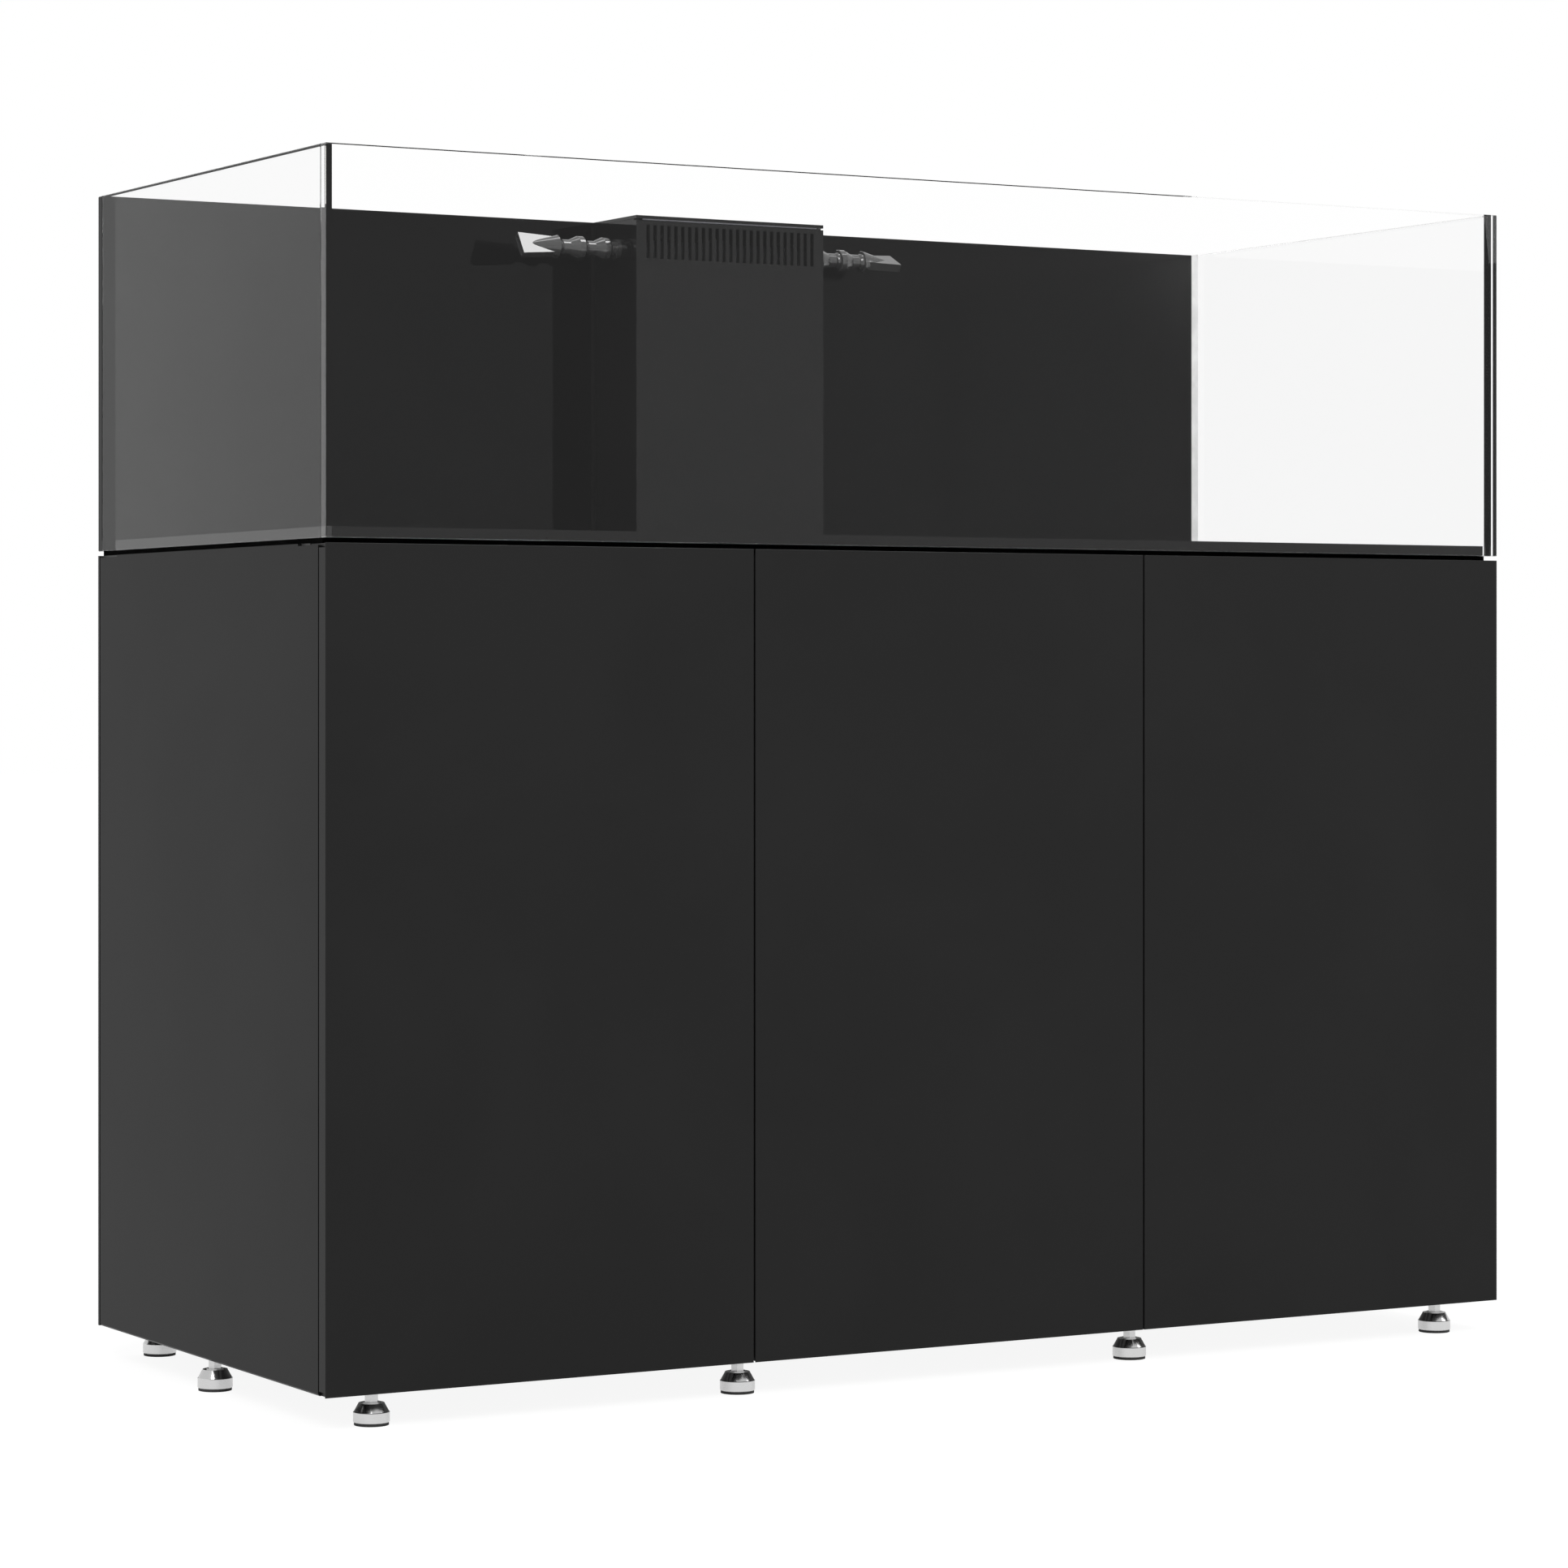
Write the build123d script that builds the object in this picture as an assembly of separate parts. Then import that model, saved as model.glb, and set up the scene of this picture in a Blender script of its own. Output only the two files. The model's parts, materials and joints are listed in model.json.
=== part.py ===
from build123d import *
import os

os.makedirs("parts", exist_ok=True)

# Aquarium on a cabinet. Millimetres; X along the front, Y to the back, Z up,
# origin on the floor under the middle of the object.

# Overall sizes
LENGTH = 1500.0
DEPTH = 620.0
FOOT_H = 36.0
CABINET_H = 867.0
MAT_T = 5.0
TANK_H = 400.0

# Cabinet
DOOR_T = 16.0
DOOR_GAP = 2.2
DOOR_BACK_GAP = 2.5
DOOR_EDGE = 0.6
PANEL_T = 4.0
PANEL_BACK_GAP = 2.5
PANEL_BEVEL = 2.0
VENT_L = 50.0
VENT_H = 2.2
TOP_T = 12.0
DECK_T = 12.0
MAT_INSET = 1.0
PROFILE = 30.0
GROOVE_W = 8.0
GROOVE_LIP = 2.2
CHAMBER_W = 16.5
CHAMBER_D = 5.0
GROOVE_D = 9.2
CABLE_W = 160.0
CABLE_H = 100.0
CABLE_DROP = 160.0
CABLE_R = 8.0

# Door pivots and catches
AXIS_IN = 6.0
AXIS_BACK = 5.0
PIN_D = 4.0
PIN_CLEAR = 0.05
PIN_IN = 8.0
PIN_END = 1.0
ARM_W = 6.4
ARM_T = 3.5
ARM_ROOT = 30.0
ARM_SINK = 0.5
ARM_SHY = 2.0
NOTCH_CLEAR = 0.4
MAGNET_D = 10.0
MAGNET_IN = 14.0
STRIKE_D = 16.0
STRIKE_T = 1.0
CATCH_IN = 40.0

# Levelling feet
FOOT_INSET = 47.5
FOOT_SHIFT = 3.0
SIDE_FOOT_BACK = 12.0
PAD_D = 36.0
PAD_T = 3.0
BAND_D = 37.7
BAND_H = 11.0
CONE_D = 26.8
CONE_H = 8.6
COLLAR_D = 18.5
COLLAR_H = 1.0
HEX_AF = 13.0
BAND_EDGE = 0.6
STUD_D = 10.0
STUD_CLEAR = 0.1
STUD_SHY = 2.0
STUD_END = 1.0

# Tank
GLASS_T = 12.0
ARRIS = 0.8
SEAM = 1.0
SEAM_INSET = 2.5

# Overflow
OVERFLOW_W = 254.0
OVERFLOW_D = 107.5
WALL_T = 6.0
LID_T = 3.7
LID_SLIT = 2.3
SLOTS = 25
SLOT_W = 4.5
SLOT_PITCH = 9.27
SLOT_H = 39.0
SLOT_TOP = 5.0

# Pipes
PIPE_D = 32.0
PIPE_BORE = 26.0
PIPE_BACK = 60.0
PIPE_STEP = 75.0
HOLE_D = 45.0
BULK_D = 44.0
FLANGE_D = 60.0
FLANGE_T = 6.0
NUT_AF = 56.0
NUT_T = 10.0
TAIL = 18.0
SOCKET = 15.0
CUT_W = 240.0
CUT_D = 76.0
DRAIN_DROP = 93.0
SPARE_DROP = 73.0
ELBOW_D = 40.0
ELBOW_L = 40.0
ELBOW_IN = 20.0
RUN_BACK = 138.0
RUN_RISE = 158.0

# Return hose
HOSE_DROP = 37.0
TEE_D = 26.0
TEE_END = 14.0
SPIGOT_D = 18.0
SPIGOT_IN = 12.0
BASE_D = 24.0
BASE_T = 5.0
BASE_OUT = 18.0
BALL_R = 11.2
BALL_CLEAR = 0.3
BALL_FLAT = 8.0
HOSE_BORE = 11.0
LINK_PITCH = 33.0
MOUTH = 4.0
RIDGE_R = 13.5
RIDGE_L = 7.5
RIDGE_EDGE = 0.8
TAPER_L = 10.5
NECK_R = 8.8
NECK_GAP = 5.5
WAIST_R = 7.6
FLARE_L = 45.0
SPEAR_L = 34.0
FAN_H = 30.0
FAN_ROOT_H = 23.0
FAN_ROOT = 2.0
FAN_T = 9.5
FAN_SLOT = 5.5
LEFT_TILT = 33.0
RIGHT_TILT = 64.0

# Sump and its fittings
SUMP_GAP = 76.0
SUMP_L = 790.0
SUMP_D = 460.0
SUMP_H = 400.0
SUMP_T = 8.0
BAFFLE_T = 6.0
BAFFLE_H = 300.0
BAFFLE_LIFT = 40.0
BAFFLE_STEP = 22.0
PUMP_BAY = 190.0
DRAIN_BAY = 256.0
WALL_GAP = 8.0
PUMP_IN = 87.0
PUMP_L = 96.0
PUMP_W = 84.0
PUMP_FOOT = 6.0
PUMP_FOOT_D = 14.0
PUMP_BASE = 8.0
VOLUTE_D = 78.0
VOLUTE_L = 46.0
MOTOR_D = 60.0
MOTOR_L = 40.0
MOTOR_EDGE = 6.0
PORT_D = 42.0
PORT_H = 70.0
INTAKE_D = 54.0
INTAKE_L = 18.0
INTAKE_T = 3.0
INTAKE_SLOTS = 10
INTAKE_SLOT = 8.0
GLAND_D = 14.0
GLAND_H = 12.0
VALVE_L = 60.0
VALVE_D = 46.0
UNION_D = 52.0
UNION_L = 18.0
UNION_RIBS = 12
RIB_D = 5.0
VALVE_RISE = 60.0
GATE_RISE = 90.0
NECK_D = 26.0
VALVE_NECK = 40.0
STEM_D = 8.0
STEM_CLEAR = 0.06
STEM_IN = 12.0
STEM_END = 1.0
LEVER_W = 14.0
LEVER_T = 6.0
LEVER_L = 78.0
HUB_D = 22.0
WHEEL_D = 58.0
WHEEL_RIM = 6.0
WHEEL_T = 8.0
SPOKE_W = 5.0
BODY_GAP = 0.3

# Levels and planes
front = -DEPTH / 2
back = DEPTH / 2
side = LENGTH / 2
z_cab = FOOT_H
z_cab_top = FOOT_H + CABINET_H
z_tank = z_cab_top + MAT_T
z_rim = z_tank + TANK_H
z_floor = z_tank + GLASS_T
door_back = front + DOOR_T
frame_front = door_back + DOOR_BACK_GAP
frame_back = back - PANEL_T
frame_side = side - PANEL_T
rail_front = frame_front + PROFILE / 2
rail_back = frame_back - PROFILE / 2
rail_side = frame_side - PROFILE / 2
rail_mid = LENGTH / 6
z_rail = z_cab + ARM_T + ARM_SINK
z_deck = z_rail + PROFILE
z_top = z_cab_top - TOP_T
z_top_rail = z_top - PROFILE
z_sump = z_deck + DECK_T
glass_in = back - GLASS_T
pipe_y = glass_in - PIPE_BACK


def block(x0, x1, y0, y1, z0, z1):
    middle = Pos((x0 + x1) / 2, (y0 + y1) / 2, (z0 + z1) / 2)
    return middle * Box(x1 - x0, y1 - y0, z1 - z0)


def rod(x, y, z0, z1, d):
    return Pos(x, y, (z0 + z1) / 2) * Cylinder(d / 2, z1 - z0)


def rod_x(x0, x1, y, z, d):
    return Pos((x0 + x1) / 2, y, z) * Rot(0, 90, 0) * Cylinder(d / 2, x1 - x0)


def rod_y(x, y0, y1, z, d):
    return Pos(x, (y0 + y1) / 2, z) * Rot(90, 0, 0) * Cylinder(d / 2, y1 - y0)


def tube(x, y, z0, z1):
    return rod(x, y, z0, z1, PIPE_D) - rod(x, y, z0, z1, PIPE_BORE)


def turned(*points):
    outline = [(r, 0, z) for r, z in points]
    return revolve(make_face(Polyline(*outline, close=True)), Axis.Z)


def hexagon(x, y, z0, z1, across):
    flat = RegularPolygon(across / 2, 6, major_radius=False)
    return Pos(x, y, z0) * extrude(flat, z1 - z0)


def save(name, *pieces):
    solids = [solid for piece in pieces for solid in piece.solids()]
    node = solids[0] if len(solids) == 1 else Compound(solids)
    export_step(node, f"parts/{name}.step")


# Frame of slotted profiles
def bar(turn, length, x, y, z):
    section = Rectangle(PROFILE, PROFILE)
    face = PROFILE / 2
    outline = [
        (face, GROOVE_W / 2),
        (face - GROOVE_LIP, GROOVE_W / 2),
        (face - GROOVE_LIP, CHAMBER_W / 2),
        (face - CHAMBER_D, CHAMBER_W / 2),
        (face - GROOVE_D, GROOVE_W / 2),
    ]
    mirrored = [(x, -y) for x, y in reversed(outline)]
    groove = make_face(Polyline(*outline, *mirrored, close=True))
    for angle in (0, 90, 180, 270):
        section -= Rot(0, 0, angle) * groove
    return Pos(x, y, z) * turn * extrude(section, length / 2, both=True)


along_x = Rot(0, 90, 0)
along_y = Rot(90, 0, 0)
upright = Rot(0, 0, 0)
rail_levels = (z_rail + PROFILE / 2, z_top_rail + PROFILE / 2)
rail_span = frame_back - frame_front - 2 * PROFILE
rail_centre = (rail_front + rail_back) / 2
foot_out = rail_side - FOOT_INSET
foot_mid = rail_mid + FOOT_SHIFT
feet = {}
for row, y in (("front", rail_front), ("back", rail_back)):
    feet[f"{row}_foot_far_left"] = (-foot_out, y)
    feet[f"{row}_foot_mid_left"] = (-foot_mid, y)
    feet[f"{row}_foot_mid_right"] = (foot_mid, y)
    feet[f"{row}_foot_far_right"] = (foot_out, y)
side_foot_y = rail_centre + SIDE_FOOT_BACK
feet["side_foot_left"] = (-rail_side, side_foot_y)
feet["side_foot_right"] = (rail_side, side_foot_y)
stud_top = z_deck - STUD_SHY
stud_bore = STUD_D + 2 * STUD_CLEAR

door_w = (LENGTH - 2 * DOOR_GAP) / 3
doors = {
    "left": (-side, -side + door_w, -1),
    "centre": (-door_w / 2, door_w / 2, -1),
    "right": (side - door_w, side, 1),
}


def pivot_x(x0, x1, hand):
    return x0 + AXIS_IN if hand < 0 else x1 - AXIS_IN


def catch_x(x0, x1, hand):
    return x1 - CATCH_IN if hand < 0 else x0 + CATCH_IN


long_rails = []
side_rails = []
cross_rails = []
for z in rail_levels:
    for y in (rail_front, rail_back):
        rail = bar(along_x, 2 * frame_side, 0, y, z)
        if z < z_deck:
            for foot_x, foot_y in feet.values():
                if foot_y == y:
                    rail -= rod(foot_x, foot_y, z_rail, stud_top + STUD_END, stud_bore)
        elif y == rail_front:
            for span in doors.values():
                rail -= rod_y(catch_x(*span), frame_front, frame_front + MAGNET_IN, z, MAGNET_D)
        long_rails.append(rail)
    for x in (-rail_side, rail_side):
        rail = bar(along_y, rail_span, x, rail_centre, z)
        if z < z_deck:
            rail -= rod(x, side_foot_y, z_rail, stud_top + STUD_END, stud_bore)
        side_rails.append(rail)
    for x in (-rail_mid, rail_mid):
        cross_rails.append(bar(along_y, rail_span, x, rail_centre, z))

posts = []
post_places = []
for y in (rail_front, rail_back):
    for x in (-rail_side, -rail_mid, rail_mid, rail_side):
        posts.append(bar(upright, z_top_rail - z_deck, x, y, (z_top_rail + z_deck) / 2))
        post_places.append((x, y))

save("long_rails", *long_rails)
save("side_rails", *side_rails)
save("cross_rails", *cross_rails)
save("frame_posts", *posts)

# Deck, top and panels
deck = block(-frame_side, frame_side, frame_front, frame_back, z_deck, z_sump)
for x, y in post_places:
    deck -= Pos(x, y, (z_deck + z_sump) / 2) * Box(PROFILE, PROFILE, DECK_T)
save("floor_deck", deck)

arm_y = front + AXIS_BACK
arm_end = frame_front + PROFILE - ARM_SHY
z_arm = z_rail - ARM_T
z_arm_top = z_cab_top - ARM_SINK - ARM_T


def arm(x, hand, z, grow):
    inner = x - hand * ARM_ROOT
    outer = x + hand * (AXIS_IN - PANEL_T - ARM_SINK)
    low = min(inner, outer) - grow
    high = max(inner, outer) + grow
    return block(low, high, frame_front, arm_end + grow, z, z + ARM_T + (ARM_SINK if grow else 0))


top = block(-frame_side, frame_side, frame_front, frame_back, z_top, z_cab_top)
cut = (-CUT_W / 2, CUT_W / 2, pipe_y - CUT_D / 2, pipe_y + CUT_D / 2)
top -= block(*cut, z_top, z_cab_top)
arms = []
pins = []
for span in doors.values():
    x = pivot_x(*span)
    hand = span[2]
    top -= arm(x, hand, z_arm_top, ARM_SINK)
    for z in (z_arm, z_arm_top):
        reach = block(x - ARM_W / 2, x + ARM_W / 2, arm_y, frame_front, z, z + ARM_T)
        eye = rod(x, arm_y, z, z + ARM_T, ARM_W)
        bore = rod(x, arm_y, z, z + ARM_T, PIN_D)
        arms.append(arm(x, hand, z, 0) + reach + eye - bore)
notch_h = ARM_T + 3 * ARM_SINK
for span in doors.values():
    x = pivot_x(*span)
    pins.append(rod(x, arm_y, z_arm, z_cab + notch_h + PIN_IN, PIN_D))
    pins.append(rod(x, arm_y, z_cab_top - notch_h - PIN_IN, z_arm_top + ARM_T, PIN_D))
save("top_panel", top)
save("hinge_arms", *arms)
save("hinge_pins", *pins)

mat_side = frame_side - MAT_INSET
mat = block(-mat_side, mat_side, frame_front, frame_back, z_cab_top, z_tank)
save("levelling_mat", mat - block(*cut, z_cab_top, z_tank))

panel = block(frame_side, side, frame_front, frame_back - PANEL_BACK_GAP, z_cab, z_cab_top)
panel = chamfer(panel.faces().sort_by(Axis.X)[-1].edges().sort_by(Axis.Z)[0], PANEL_BEVEL)
for y0 in (frame_front, frame_back - PANEL_BACK_GAP - VENT_L):
    panel -= block(frame_side, side, y0, y0 + VENT_L, z_cab_top - VENT_H, z_cab_top)
save("right_side_panel", panel)
save("left_side_panel", mirror(panel, about=Plane.YZ))

rear = block(-side, side, frame_back, back, z_cab, z_cab_top)
z_cable = z_cab_top - CABLE_DROP
for x in (-2 * rail_mid, 2 * rail_mid):
    window = block(x - CABLE_W / 2, x + CABLE_W / 2, frame_back, back, z_cable - CABLE_H, z_cable)
    rear -= fillet(window.edges().filter_by(Axis.Y), CABLE_R)
save("back_panel", rear)

# Doors
skin = AXIS_BACK - ARM_W / 2 - NOTCH_CLEAR
notch_w = AXIS_IN + ARM_W / 2 + 3 * NOTCH_CLEAR
magnet_out = DOOR_BACK_GAP - STRIKE_T - BODY_GAP
z_catch = z_top_rail + PROFILE / 2
magnets = []
for name, (x0, x1, hand) in doors.items():
    leaf = block(x0, x1, front, door_back, z_cab, z_cab_top)
    leaf = chamfer(leaf.faces().sort_by(Axis.Y)[0].edges(), DOOR_EDGE)
    x = pivot_x(x0, x1, hand)
    low = x0 if hand < 0 else x1 - notch_w
    bore = PIN_D + 2 * PIN_CLEAR
    leaf -= block(low, low + notch_w, front + skin, door_back, z_cab, z_cab + notch_h)
    leaf -= block(low, low + notch_w, front + skin, door_back, z_cab_top - notch_h, z_cab_top)
    leaf -= rod(x, arm_y, z_cab + notch_h, z_cab + notch_h + PIN_IN + PIN_END, bore)
    leaf -= rod(x, arm_y, z_cab_top - notch_h - PIN_IN - PIN_END, z_cab_top - notch_h, bore)
    save(f"{name}_door", leaf)
    x = catch_x(x0, x1, hand)
    save(f"{name}_strike", rod_y(x, door_back, door_back + STRIKE_T, z_catch, STRIKE_D))
    magnets.append(rod_y(x, frame_front - magnet_out, frame_front + MAGNET_IN, z_catch, MAGNET_D))
save("door_magnets", *magnets)

# Levelling feet
z_cone = PAD_T + BAND_H
z_collar = z_cone + CONE_H
for name, (x, y) in feet.items():
    pad = rod(0, 0, 0, PAD_T, PAD_D)
    base = turned(
        (0, PAD_T),
        (BAND_D / 2 - BAND_EDGE, PAD_T),
        (BAND_D / 2, PAD_T + BAND_EDGE),
        (BAND_D / 2, z_cone - BAND_EDGE),
        (BAND_D / 2 - BAND_EDGE, z_cone),
        (CONE_D / 2, z_collar),
        (0, z_collar),
    )
    stem = rod(0, 0, z_collar, z_collar + COLLAR_H, COLLAR_D)
    stem += hexagon(0, 0, z_collar + COLLAR_H, z_rail - BODY_GAP, HEX_AF)
    stem += rod(0, 0, z_rail - BODY_GAP, stud_top, STUD_D)
    save(name, *[Pos(x, y, 0) * piece for piece in (pad, base, stem)])

# Tank of glass panes
end_y = glass_in - SEAM
floor_x = side - GLASS_T - SEAM
panes = {
    "front_pane": block(-side, side, front, front + GLASS_T, z_tank, z_rim),
    "back_pane": block(-side, side, glass_in, back, z_tank, z_rim),
    "left_pane": block(-side, -side + GLASS_T, -end_y, end_y, z_tank, z_rim),
    "right_pane": block(side - GLASS_T, side, -end_y, end_y, z_tank, z_rim),
}
for name, pane in panes.items():
    save(name, chamfer(pane.edges(), ARRIS))
drill = [-PIPE_STEP, 0, PIPE_STEP]
pane = block(-floor_x, floor_x, -end_y, end_y, z_tank, z_floor)
for x in drill:
    pane -= rod(x, pipe_y, z_tank, z_floor, HOLE_D)
save("bottom_pane", pane)

seams = []
for turn in (0, 180):
    end = block(-floor_x, floor_x, -end_y - SEAM, -end_y, z_tank, z_floor)
    edge = block(-floor_x - SEAM, -floor_x, -end_y, end_y, z_tank, z_floor)
    seams.append(Rot(0, 0, turn) * end)
    seams.append(Rot(0, 0, turn) * edge)
    for x_hand in (-1, 1):
        outer = x_hand * (side - SEAM_INSET)
        inner = x_hand * (side - GLASS_T)
        joint = block(min(outer, inner), max(outer, inner), -end_y - SEAM, -end_y, z_tank, z_rim)
        seams.append(Rot(0, 0, turn) * joint)
save("silicone_seams", *seams)

# Overflow box
of_side = OVERFLOW_W / 2
of_front = glass_in - OVERFLOW_D
of_in = of_front + WALL_T
z_wall = z_rim - LID_T - BODY_GAP
z_weir = z_wall - LID_SLIT + BODY_GAP
z_hose = z_rim - HOSE_DROP
weir = block(-of_side, of_side, of_front, of_in, z_floor, z_weir)
slot = block(-SLOT_W / 2, SLOT_W / 2, of_front, of_in, z_weir - SLOT_TOP - SLOT_H, z_weir - SLOT_TOP)
weir -= [Pos((i - (SLOTS - 1) / 2) * SLOT_PITCH, 0, 0) * slot for i in range(SLOTS)]
save("overflow_weir", weir)
wall = block(of_side - WALL_T, of_side, of_in, glass_in, z_floor, z_wall)
wall -= rod_x(of_side - WALL_T, of_side, pipe_y, z_hose, SPIGOT_D)
save("overflow_right_wall", wall)
save("overflow_left_wall", mirror(wall, about=Plane.YZ))
save("overflow_lid", block(-of_side, of_side, of_front, glass_in - BODY_GAP, z_rim - LID_T, z_rim))

# Bulkheads and pipes in the overflow
z_nut = z_tank - NUT_T
z_tail = z_nut - TAIL
bulkheads = []
nuts = []
for x in drill:
    fitting = rod(x, pipe_y, z_tail, z_floor, BULK_D)
    fitting += rod(x, pipe_y, z_floor, z_floor + FLANGE_T, FLANGE_D)
    fitting -= rod(x, pipe_y, z_tail, z_floor + FLANGE_T, PIPE_BORE)
    fitting -= rod(x, pipe_y, z_tail, z_tail + SOCKET, PIPE_D)
    fitting -= rod(x, pipe_y, z_floor + FLANGE_T - SOCKET, z_floor + FLANGE_T, PIPE_D)
    bulkheads.append(fitting)
    nuts.append(hexagon(x, pipe_y, z_nut, z_tank, NUT_AF) - rod(x, pipe_y, z_nut, z_tank, BULK_D))
save("bulkheads", *bulkheads)
save("bulkhead_nuts", *nuts)
z_socket = z_floor + FLANGE_T - SOCKET
save(
    "standpipes",
    tube(-PIPE_STEP, pipe_y, z_socket, z_rim - DRAIN_DROP),
    tube(PIPE_STEP, pipe_y, z_socket, z_rim - SPARE_DROP),
)
tee_end = of_side - TEE_END
riser = rod(0, pipe_y, z_socket, z_hose + PIPE_D / 2, PIPE_D)
riser += rod_x(-tee_end, tee_end, pipe_y, z_hose, TEE_D)
riser -= rod(0, pipe_y, z_socket, z_hose, PIPE_BORE)
riser -= rod_x(-tee_end, tee_end, pipe_y, z_hose, SPIGOT_D)
save("return_riser", riser)

# Return hose of balls and sockets, drawn along Z with the joint at the origin
ball_cut = Pos(0, 0, BALL_FLAT + BALL_R) * Box(2 * BALL_R, 2 * BALL_R, 2 * BALL_R)
ball = Sphere(BALL_R) - ball_cut
cup = Sphere(BALL_R + BALL_CLEAR)
spigot_end = BASE_OUT + WALL_T + SPIGOT_IN
neck_back = MOUTH + NECK_GAP
stub = turned(
    (0, -spigot_end),
    (SPIGOT_D / 2, -spigot_end),
    (SPIGOT_D / 2, -BASE_OUT),
    (BASE_D / 2, -BASE_OUT),
    (BASE_D / 2, -BASE_OUT + BASE_T),
    (NECK_R, -BASE_OUT + BASE_T),
    (NECK_R, -neck_back),
    (WAIST_R, -neck_back),
    (WAIST_R, 0),
    (0, 0),
)
stub += ball
stub -= rod(0, 0, -spigot_end, BALL_R, HOSE_BORE)
rim = ((0, -MOUTH), (RIDGE_R - RIDGE_EDGE, -MOUTH), (RIDGE_R, -MOUTH + RIDGE_EDGE))
ridge_end = RIDGE_L - MOUTH
link = turned(
    *rim,
    (RIDGE_R, ridge_end),
    (NECK_R, ridge_end + TAPER_L),
    (NECK_R, LINK_PITCH - neck_back),
    (WAIST_R, LINK_PITCH - neck_back),
    (WAIST_R, LINK_PITCH),
    (0, LINK_PITCH),
)
link += Pos(0, 0, LINK_PITCH) * ball
link -= cup
link -= rod(0, 0, 0, LINK_PITCH + BALL_R, HOSE_BORE)
spear_end = SPEAR_L - MOUTH
flare = turned(*rim, (FAN_T / 2, spear_end), (0, spear_end))


def fan(root, root_h, end_h, thick):
    outline = Polyline(
        (-root_h / 2, 0, root),
        (root_h / 2, 0, root),
        (end_h / 2, 0, FLARE_L),
        (-end_h / 2, 0, FLARE_L),
        close=True,
    )
    return extrude(make_face(outline), thick / 2, both=True)


bore_end = FLARE_L / 3
flare += fan(FAN_ROOT, FAN_ROOT_H, FAN_H, FAN_T)
flare -= cup
flare -= rod(0, 0, 0, bore_end, HOSE_BORE)
flare -= fan(bore_end - FAN_SLOT, HOSE_BORE, FAN_H - (FAN_T - FAN_SLOT), FAN_SLOT)

ball_x = of_side + BASE_OUT
lay = Pos(ball_x, pipe_y, z_hose) * Rot(0, 90, 0)
step = Pos(LINK_PITCH, 0, 0)
last_ball = step * step * Pos(ball_x, pipe_y, z_hose)
hose = {"base": lay * stub, "link_1": lay * link, "link_2": step * lay * link}
save("nozzle_bases", hose["base"], mirror(hose["base"], about=Plane.YZ))
save("right_link_1", hose["link_1"])
save("right_link_2", hose["link_2"])
save("right_flare", last_ball * Rot(-RIGHT_TILT, 0, 0) * Rot(0, 90, 0) * flare)
save("left_link_1", mirror(hose["link_1"], about=Plane.YZ))
save("left_link_2", mirror(hose["link_2"], about=Plane.YZ))
save("left_flare", mirror(last_ball * Rot(-LEFT_TILT, 0, 0) * Rot(0, 90, 0) * flare, about=Plane.YZ))

# Sump
z_bed = z_sump + SUMP_T
z_brim = z_sump + SUMP_H
sump_left = PROFILE + SUMP_GAP - frame_side
sump_right = sump_left + SUMP_L
in_left = sump_left + SUMP_T
in_right = sump_right - SUMP_T
in_back = pipe_y + PIPE_D / 2 + WALL_GAP
sump_back = in_back + SUMP_T
sump_front = sump_back - SUMP_D
in_front = sump_front + SUMP_T
sump = [
    block(sump_left, sump_right, sump_front, sump_back, z_sump, z_bed),
    block(sump_left, sump_right, sump_front, in_front, z_bed, z_brim),
    block(sump_left, sump_right, in_back, sump_back, z_bed, z_brim),
    block(sump_left, in_left, in_front, in_back, z_bed, z_brim),
    block(in_right, sump_right, in_front, in_back, z_bed, z_brim),
]
save("sump_panes", *sump)
trap = in_left + PUMP_BAY
baffles = []
for x, lift in (
    (trap, 0),
    (trap + BAFFLE_STEP, BAFFLE_LIFT),
    (trap + 2 * BAFFLE_STEP, 0),
    (in_right - DRAIN_BAY - BAFFLE_T, 0),
):
    z = z_bed + lift
    baffles.append(block(x, x + BAFFLE_T, in_front, in_back, z, z + BAFFLE_H))
save("sump_baffles", *baffles)

# Return pump, standing on the floor of the sump
pump_x = in_left + PUMP_IN
run_y = pipe_y - RUN_BACK
pump_left = pump_x - PUMP_L / 2
pump_front = run_y - PUMP_W / 2
z_base = z_bed + PUMP_FOOT
z_axis = z_base + PUMP_BASE + VOLUTE_D / 2
z_port = z_axis + PORT_H
volute_left = pump_x - VOLUTE_L / 2
volute_right = pump_x + VOLUTE_L / 2
motor_left = volute_left - MOTOR_L
plate = block(pump_left, pump_left + PUMP_L, pump_front, pump_front + PUMP_W, z_base, z_base + PUMP_BASE)
pump = fillet(plate.edges().filter_by(Axis.Z), PUMP_BASE)
for x in (pump_left + PUMP_FOOT_D, pump_left + PUMP_L - PUMP_FOOT_D):
    for y in (pump_front + PUMP_FOOT_D, pump_front + PUMP_W - PUMP_FOOT_D):
        pump += rod(x, y, z_bed, z_base, PUMP_FOOT_D)
motor = rod_x(motor_left, volute_left, run_y, z_axis, MOTOR_D)
pump += chamfer(motor.faces().sort_by(Axis.X)[0].edges(), MOTOR_EDGE)
pump += block(motor_left + MOTOR_EDGE, volute_left, run_y - MOTOR_D / 4, run_y + MOTOR_D / 4, z_base, z_axis)
pump += rod_x(volute_left, volute_right, run_y, z_axis, VOLUTE_D)
pump += rod(pump_x, run_y, z_axis, z_port, PORT_D)
pump += rod(volute_left - MOTOR_L / 2, run_y, z_axis, z_axis + MOTOR_D / 2 + GLAND_H, GLAND_D)
grille = rod_x(volute_right, volute_right + INTAKE_L, run_y, z_axis, INTAKE_D)
hollow = INTAKE_D - 2 * INTAKE_T
grille -= rod_x(volute_right, volute_right + INTAKE_L - INTAKE_T, run_y, z_axis, hollow)
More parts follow.
